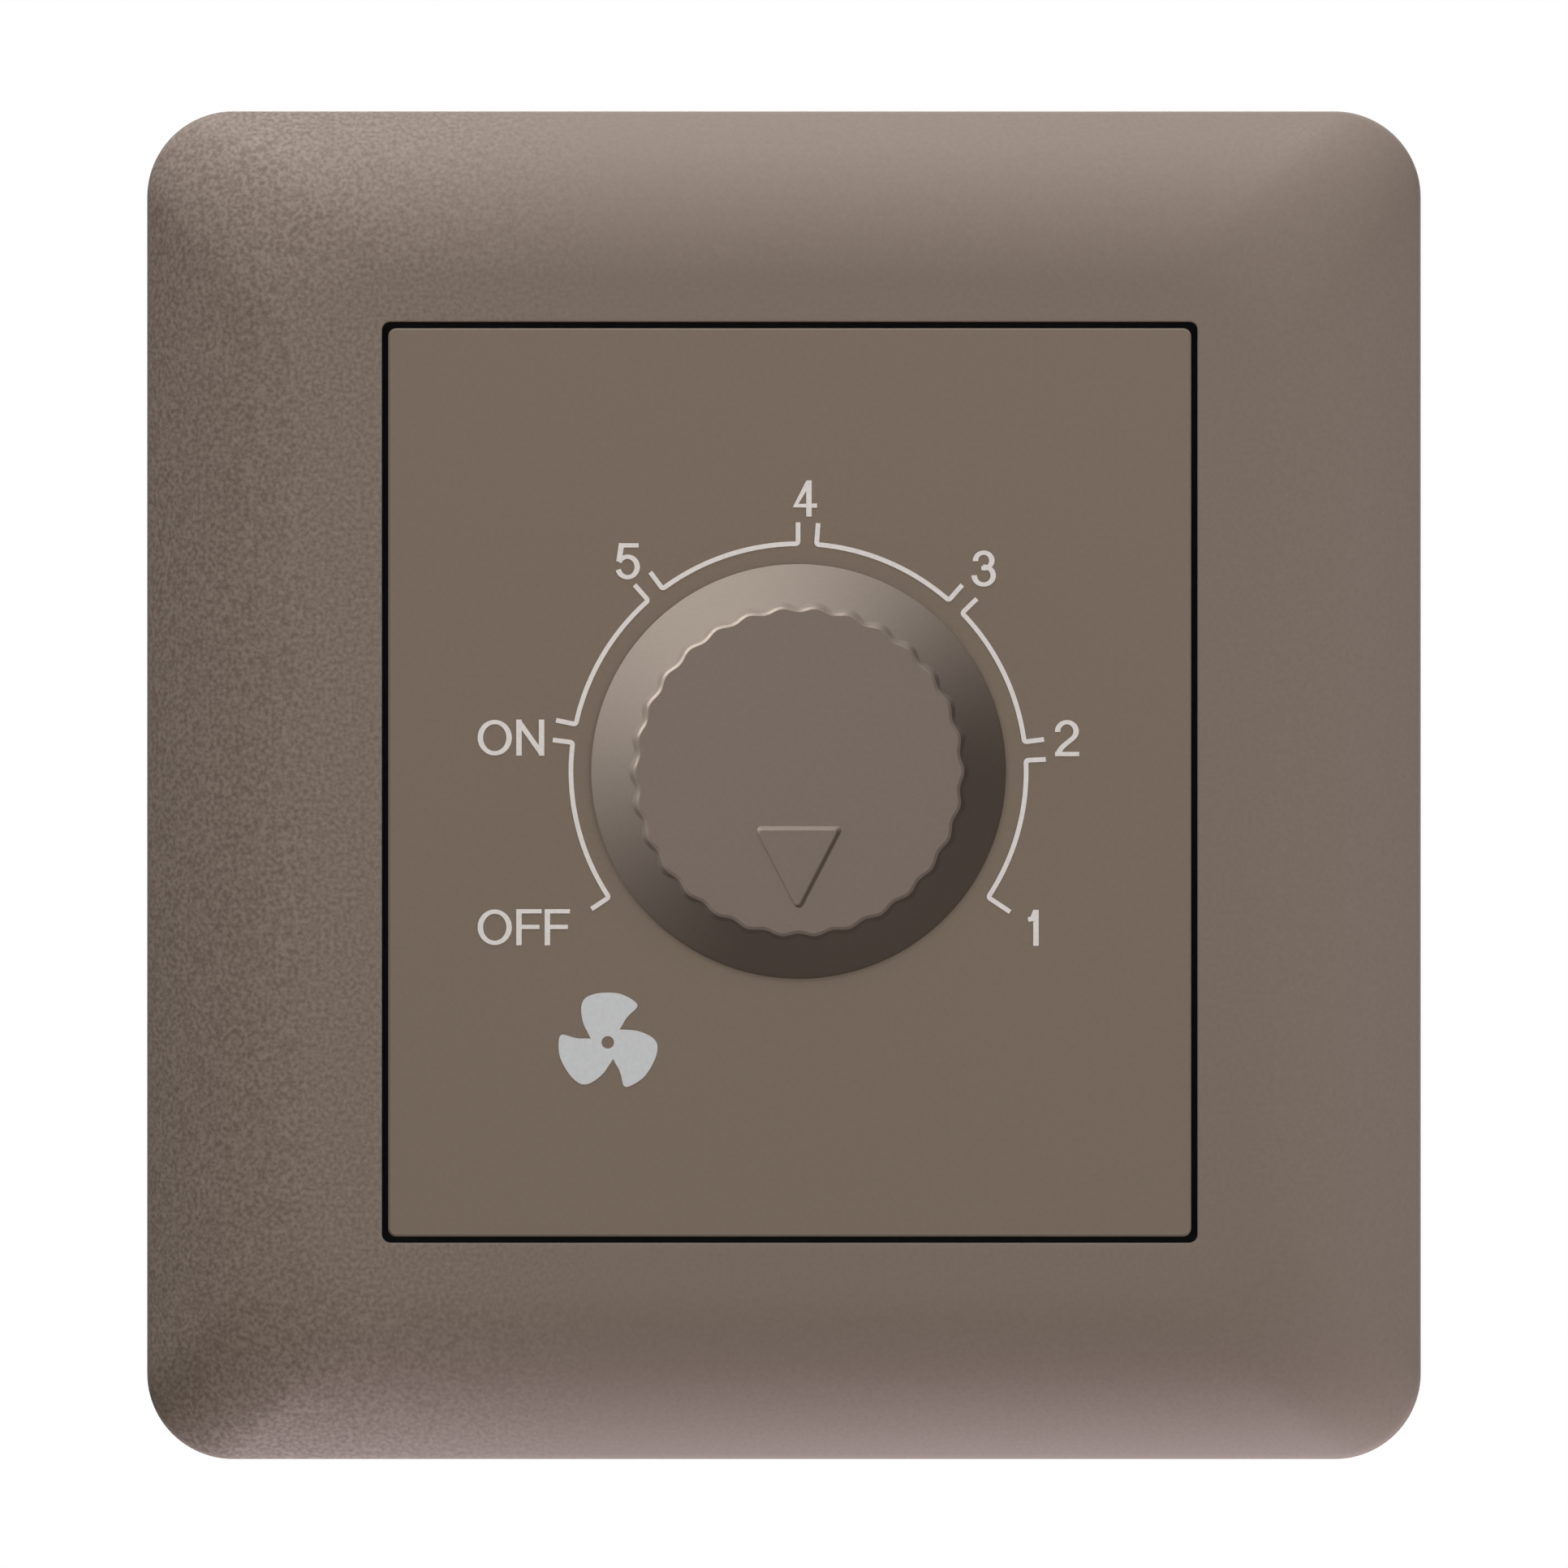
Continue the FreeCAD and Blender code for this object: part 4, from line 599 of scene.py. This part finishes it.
def printed_scale():
    """The brackets of the scale: from each mark's tick down to the scale's circle, along it, and up the
    tick of the next mark, with the ticks of neighbours split to either side of the mark. The angle and
    the radius bend by squares of a share from the tick to the circle."""
    split = math.degrees(TICK_SPLIT / SCALE_RADIUS)
    bend = math.degrees(TICK_BEND / SCALE_RADIUS)
    share = np.linspace(0, 1, ROUND_STEPS + 1)
    tables = []
    for place in range(len(SCALE_MARKS) - 1):
        start, first_tick = SCALE_MARKS[place]
        end, last_tick = SCALE_MARKS[place + 1]
        start += split if place > 0 else 0
        end -= split if place < len(SCALE_MARKS) - 2 else 0
        circle = np.linspace(start + bend, end - bend, LETTER_STEPS)[1:-1]
        angle = np.radians(np.concatenate([[start], start + bend * share ** 2, circle,
                                           end - bend * (1 - share) ** 2, [end]]))
        rise = np.concatenate([[first_tick], TICK_BEND * (1 - share) ** 2, circle * 0,
                               TICK_BEND * share ** 2, [last_tick]])
        radius = SCALE_RADIUS + rise
        path = np.stack([AXIS_X + radius * np.sin(angle), AXIS_Z + radius * np.cos(angle)], axis=-1)
        tables.append(ribbon(path, SCALE_LINE, SCALE_LINE, PRINT_THICK))
    return add_piece("printed_brackets", *joined(tables), "base", "dial_paint")


def printed_signs():
    """ON, OFF and the numbers, each sign's strokes moved to its place on the dial plate, with every
    next stroke of a sign a step higher."""
    strokes = sign_strokes()
    tables = []
    for sign, x, z in SIGN_PLACES:
        for step, path in enumerate(strokes[sign]):
            lift = PRINT_THICK + step * PRINT_STEP
            tables.append(ribbon(np.asarray(path) + (x, z), STROKE, THIN_STROKE, lift))
    return add_piece("printed_signs", *joined(tables), "base", "dial_paint")


def smooth_through(spots, steps):
    """A curve through spots: between two neighbours, a cubic whose slopes follow the spots either
    side."""
    spots = np.asarray(spots, float)
    padded = np.concatenate([2 * spots[:1] - spots[1:2], spots, 2 * spots[-1:] - spots[-2:-1]])
    t = np.linspace(0, 1, steps, endpoint=False)[None, :, None]
    a, b, c, d = (padded[k:len(padded) - 3 + k, None] for k in range(4))
    curve = b + 0.5 * t * (c - a + t * (2 * a - 5 * b + 4 * c - d + t * (3 * (b - c) + d - a)))
    return curve.reshape(-1, 2)


def printed_fan():
    """The fan symbol: one blade's outline, turned to three places, round a hub hole. The two outlines
    are filled at the face and at the back, and walls join them."""
    curve = smooth_through(BLADE_OUTLINE, BLADE_STEPS)
    turns = -np.arange(FAN_BLADES) * FULL_TURN / FAN_BLADES
    outline = np.concatenate([curve @ np.array([[math.cos(a), math.sin(a)], [-math.sin(a), math.cos(a)]])
                              for a in turns])
    hole = oval(0, 0, FAN_HOLE, FAN_HOLE, 360, 0)[:-1]
    loops = [outline, hole]
    triangles = np.array(tessellate_polygon([[Vector((x, z, 0)) for x, z in loop] for loop in loops]))
    flat = np.concatenate(loops) + FAN_HUB
    count = len(flat)
    points = np.concatenate([in_room(flat[:, 0], flat[:, 1], np.full(count, level))
                             for level in (DIAL_FACE - SINK, DIAL_FACE + PRINT_THICK)])
    a, b, c = (flat[triangles[:, k]] for k in range(3))
    clockwise = (b - a)[:, 0] * (c - a)[:, 1] - (b - a)[:, 1] * (c - a)[:, 0] < 0
    triangles[clockwise] = triangles[clockwise][:, ::-1]
    face = np.concatenate([triangles, triangles[:, 2:]], axis=1)
    walls = []
    start = 0
    for loop in loops:
        spot = start + np.arange(len(loop))
        after = np.roll(spot, -1)
        turn = np.sum(loop[:, 0] * np.roll(loop[:, 1], -1) - np.roll(loop[:, 0], -1) * loop[:, 1])
        wall = np.stack([spot, after, after + count, spot + count], axis=-1)
        inner = loop is hole
        walls.append(wall if (turn > 0) != inner else wall[:, ::-1])
        start += len(loop)
    quads = np.concatenate([face + count, face[:, ::-1]] + walls)
    return add_piece("printed_fan", points, quads, "base", "dial_paint")


def linear(*levels):
    """Screen values from 0 to 255 as linear light, by the standard curve, with full opacity."""
    share = np.array(levels) / 255
    light = np.where(share <= 0.04045, share / 12.92, ((share + 0.055) / 1.055) ** 2.4)
    return (*light.tolist(), 1)


def start_material(name):
    """A new node material with its tree and its main shader."""
    material = bpy.data.materials.new(name)
    material.use_nodes = True
    tree = material.node_tree
    return material, tree, tree.nodes["Principled BSDF"]


def noise(tree, size, stretch=(1, 1, 1)):
    """Noise on object coordinates, with features of about the given size in millimetres."""
    place = tree.nodes.new("ShaderNodeTexCoord")
    mapping = tree.nodes.new("ShaderNodeMapping")
    mapping.inputs["Scale"].default_value = stretch
    tree.links.new(place.outputs["Object"], mapping.inputs["Vector"])
    texture = tree.nodes.new("ShaderNodeTexNoise")
    texture.inputs["Scale"].default_value = 1 / (size * MM)
    texture.inputs["Detail"].default_value = NOISE_DETAIL
    tree.links.new(mapping.outputs["Vector"], texture.inputs["Vector"])
    return texture.outputs["Fac"]


def remap(tree, value, low, high, to_low=0.0, to_high=1.0):
    """A value between two bounds, brought to two others and held there."""
    node = tree.nodes.new("ShaderNodeMapRange")
    for socket, number in (("From Min", low), ("From Max", high), ("To Min", to_low), ("To Max", to_high)):
        node.inputs[socket].default_value = number
    tree.links.new(value, node.inputs["Value"])
    return node.outputs["Result"]


def blend(tree, factor, dark, light):
    """A colour between two screen colours, by a factor."""
    node = tree.nodes.new("ShaderNodeMix")
    node.data_type = "RGBA"
    for socket, colour in zip([s for s in node.inputs if s.type == "RGBA"], (dark, light)):
        socket.default_value = linear(*colour)
    tree.links.new(factor, node.inputs["Factor"])
    return [s for s in node.outputs if s.type == "RGBA"][0]


def mixed(tree, share, value):
    """A noise value drawn towards the middle of its range as the share falls to nought."""
    node = tree.nodes.new("ShaderNodeMix")
    node.inputs["A"].default_value = NOISE_MIDDLE
    tree.links.new(share, node.inputs["Factor"])
    tree.links.new(value, node.inputs["B"])
    return node.outputs["Result"]


def bump(tree, shader, height, depth, strength):
    """Bump from a height of 0 to 1, its depth in millimetres."""
    node = tree.nodes.new("ShaderNodeBump")
    node.inputs["Strength"].default_value = strength
    node.inputs["Distance"].default_value = depth * MM
    tree.links.new(height, node.inputs["Height"])
    tree.links.new(node.outputs["Normal"], shader.inputs["Normal"])


def along(tree, axis):
    """Object coordinates along one axis."""
    place = tree.nodes.new("ShaderNodeTexCoord")
    split = tree.nodes.new("ShaderNodeSeparateXYZ")
    tree.links.new(place.outputs["Object"], split.inputs["Vector"])
    return split.outputs[axis]


def combine(tree, operation, first, second):
    """Two values made one by an operation, such as the larger of them or their product."""
    node = tree.nodes.new("ShaderNodeMath")
    node.operation = operation
    tree.links.new(first, node.inputs[0])
    tree.links.new(second, node.inputs[1])
    return node.outputs["Value"]


def level_band(tree, low, high):
    """One between two levels of the part, else nought."""
    node = tree.nodes.new("ShaderNodeMath")
    node.operation = "COMPARE"
    tree.links.new(along(tree, "Y"), node.inputs[0])
    node.inputs[1].default_value = -(low + high) / 2 * MM
    node.inputs[2].default_value = (high - low) / 2 * MM
    return node.outputs["Value"]


def surface(name, dark, light, size, rough, metal=0, gloss=0.5, depth=0.02, strength=0.3, glass=0,
            stretch=(1, 1, 1), fade=None, shine=None):
    """A finish whose colour, roughness and relief follow one noise: two colours, a grain size in
    millimetres, mean roughness, metal share, specular level, relief depth and strength, share of light
    let through, and stretch. With a fade, the grain goes from full to a least share between two places
    across the part. With a shine, the metal share is another one between two levels of the part."""
    material, tree, shader = start_material(name)
    grain = noise(tree, size, stretch)
    if fade:
        start, end, least = fade
        grain = mixed(tree, remap(tree, along(tree, "X"), start * MM, end * MM, 1, least), grain)
    tone = remap(tree, grain, *GRAIN_RANGE)
    tree.links.new(blend(tree, tone, dark, light), shader.inputs["Base Color"])
    polish = remap(tree, grain, *GRAIN_RANGE, rough - ROUGH_SPAN, rough + ROUGH_SPAN)
    tree.links.new(polish, shader.inputs["Roughness"])
    shader.inputs["Metallic"].default_value = metal
    shader.inputs["Specular IOR Level"].default_value = gloss
    shader.inputs["Transmission Weight"].default_value = glass
    if shine:
        low, high, bright = shine
        glint = remap(tree, level_band(tree, low, high), 0, 1, metal, bright)
        tree.links.new(glint, shader.inputs["Metallic"])
    bump(tree, shader, grain, depth, strength)
    return material


def dress(piece, material):
    """Give a piece one material."""
    piece.data.materials.clear()
    piece.data.materials.append(material)


def gather(name, pieces):
    """A collection that only names what a lamp lights."""
    group = bpy.data.collections.new(name)
    for piece in pieces:
        group.objects.link(piece)
    return group


def background_rays(tree):
    """One for rays that look straight at the background, reflect it or pass through glass, else
    nought."""
    paths = tree.nodes.new("ShaderNodeLightPath")
    value = paths.outputs["Is Camera Ray"]
    for kind in ("Is Glossy Ray", "Is Transmission Ray"):
        value = combine(tree, "MAXIMUM", value, paths.outputs[kind])
    return value


def floor():
    """A pale square floor below the part that takes the part's shadow. Its glow for the camera rises
    with the distance from the middle, so that it fades to the white background at its rim."""
    corners = np.array([(-1, -1), (1, -1), (1, 1), (-1, 1)]) * FLOOR_REACH
    spots = np.insert(corners, 2, FLOOR_LEVEL, axis=1)
    mesh = bpy.data.meshes.new("floor")
    mesh.from_pydata((spots * MM).tolist(), [], [(0, 1, 2, 3)])
    piece = bpy.data.objects.new("floor", mesh)
    bpy.context.scene.collection.objects.link(piece)
    material, tree, shader = start_material("pale_floor")
    tone = blend(tree, noise(tree, FLOOR_GRAIN), *FLOOR_TONES)
    tree.links.new(tone, shader.inputs["Base Color"])
    shader.inputs["Roughness"].default_value = FLOOR_ROUGH
    shader.inputs["Emission Color"].default_value = WHITE
    place = tree.nodes.new("ShaderNodeTexCoord")
    distance = tree.nodes.new("ShaderNodeVectorMath")
    distance.operation = "LENGTH"
    tree.links.new(place.outputs["Object"], distance.inputs["Vector"])
    start, end = FLOOR_FADE
    rim = remap(tree, distance.outputs["Value"], start * MM, end * MM, FLOOR_GLOW, 1)
    glow = combine(tree, "MULTIPLY", rim, background_rays(tree))
    tree.links.new(glow, shader.inputs["Emission Strength"])
    dress(piece, material)


def lamp(name, spot, aim, width, height, level, tint=(1, 1, 1), lit=None, shading=None):
    """An area lamp at a spot that lights a facing surface at its aim to the given share of its own
    colour, by level times pi squared times the distance squared in watts. It may light one collection
    only, with shadows from that one or another."""
    data = bpy.data.lights.new(name, "AREA")
    data.shape = "RECTANGLE"
    data.size = width * MM
    data.size_y = height * MM
    way = Vector(aim) - Vector(spot)
    data.energy = level * math.pi ** 2 * (way.length * MM) ** 2
    data.color = tint
    light = bpy.data.objects.new(name, data)
    light.location = Vector(spot) * MM
    light.rotation_euler = way.to_track_quat("-Z", "Y").to_euler()
    light.visible_camera = False
    bpy.context.scene.collection.objects.link(light)
    if lit:
        light.light_linking.receiver_collection = lit
        light.light_linking.blocker_collection = shading or lit


def white_world():
    """A world that is white where it is looked at and a weak light elsewhere."""
    world = bpy.data.worlds.new("studio")
    bpy.context.scene.world = world
    world.use_nodes = True
    tree = world.node_tree
    sky = tree.nodes["Background"]
    sky.inputs["Color"].default_value = WHITE
    tree.links.new(remap(tree, background_rays(tree), 0, 1, WORLD_LIGHT, 1), sky.inputs["Strength"])


def front_camera():
    """A camera far in front of the part, its lens worked out from the width that it sees."""
    data = bpy.data.cameras.new("camera")
    data.sensor_width = SENSOR_WIDTH
    data.lens = SENSOR_WIDTH * (CAMERA_DISTANCE - MID_LEVEL) / VIEW_WIDTH
    data.clip_end = CAMERA_END * MM
    camera = bpy.data.objects.new("camera", data)
    camera.location = (0, -CAMERA_DISTANCE * MM, CAMERA_LIFT * MM)
    camera.rotation_euler = (math.pi / 2, 0, 0)
    bpy.context.scene.collection.objects.link(camera)
    bpy.context.scene.camera = camera


# Finishes of the CAD pieces
materials = {name: surface(name, **finish) for name, finish in FINISHES.items()}
for entry in frame["record"]["subparts"]:
    dress(nodes[entry["node"]], materials[entry["material_slot"]])

# Pieces of this script, with their finishes
shell = front_frame()
screws = [terminal_screw("left", -SCREW_X), terminal_screw("right", SCREW_X)]
turning = [knob_body(), knob_pointer()]
prints = [printed_scale(), printed_signs(), printed_fan()]
dress(shell, materials["frame_paint"])
for piece in screws:
    dress(piece, materials["zinc_plating"])
for piece in turning:
    dress(piece, materials["knob_paint"])
for piece, ink in zip(prints, ("print_ink", "print_ink", "fan_ink")):
    dress(piece, materials[ink])

# Stage, with lamps for all, for the frame's group and for the knob's group
floor()
moving = turning + [nodes[name] for name in frame["record"]["behaviour"]["bodies"]["knob"]]
still = [piece for piece in list(nodes.values()) + prints + screws + [shell] if piece not in moving]
knob_group = gather("lit_with_knob", moving)
knob_shading = gather("shading_knob", turning[:1])
case_group = gather("lit_with_frame", still)
lamp("front_fill", *FRONT_FILL)
lamp("overhead", *OVERHEAD, COOL_LIGHT, case_group)
lamp("underneath", *UNDERNEATH, VIOLET_LIGHT, case_group)
lamp("right_side", *RIGHT_SIDE, COOL_LIGHT, case_group)
lamp("knob_key", *KNOB_KEY, KNOB_LIGHT, knob_group, knob_shading)
lamp("back_fill", *BACK_FILL)
white_world()
front_camera()
bpy.context.scene.view_settings.view_transform = "Standard"
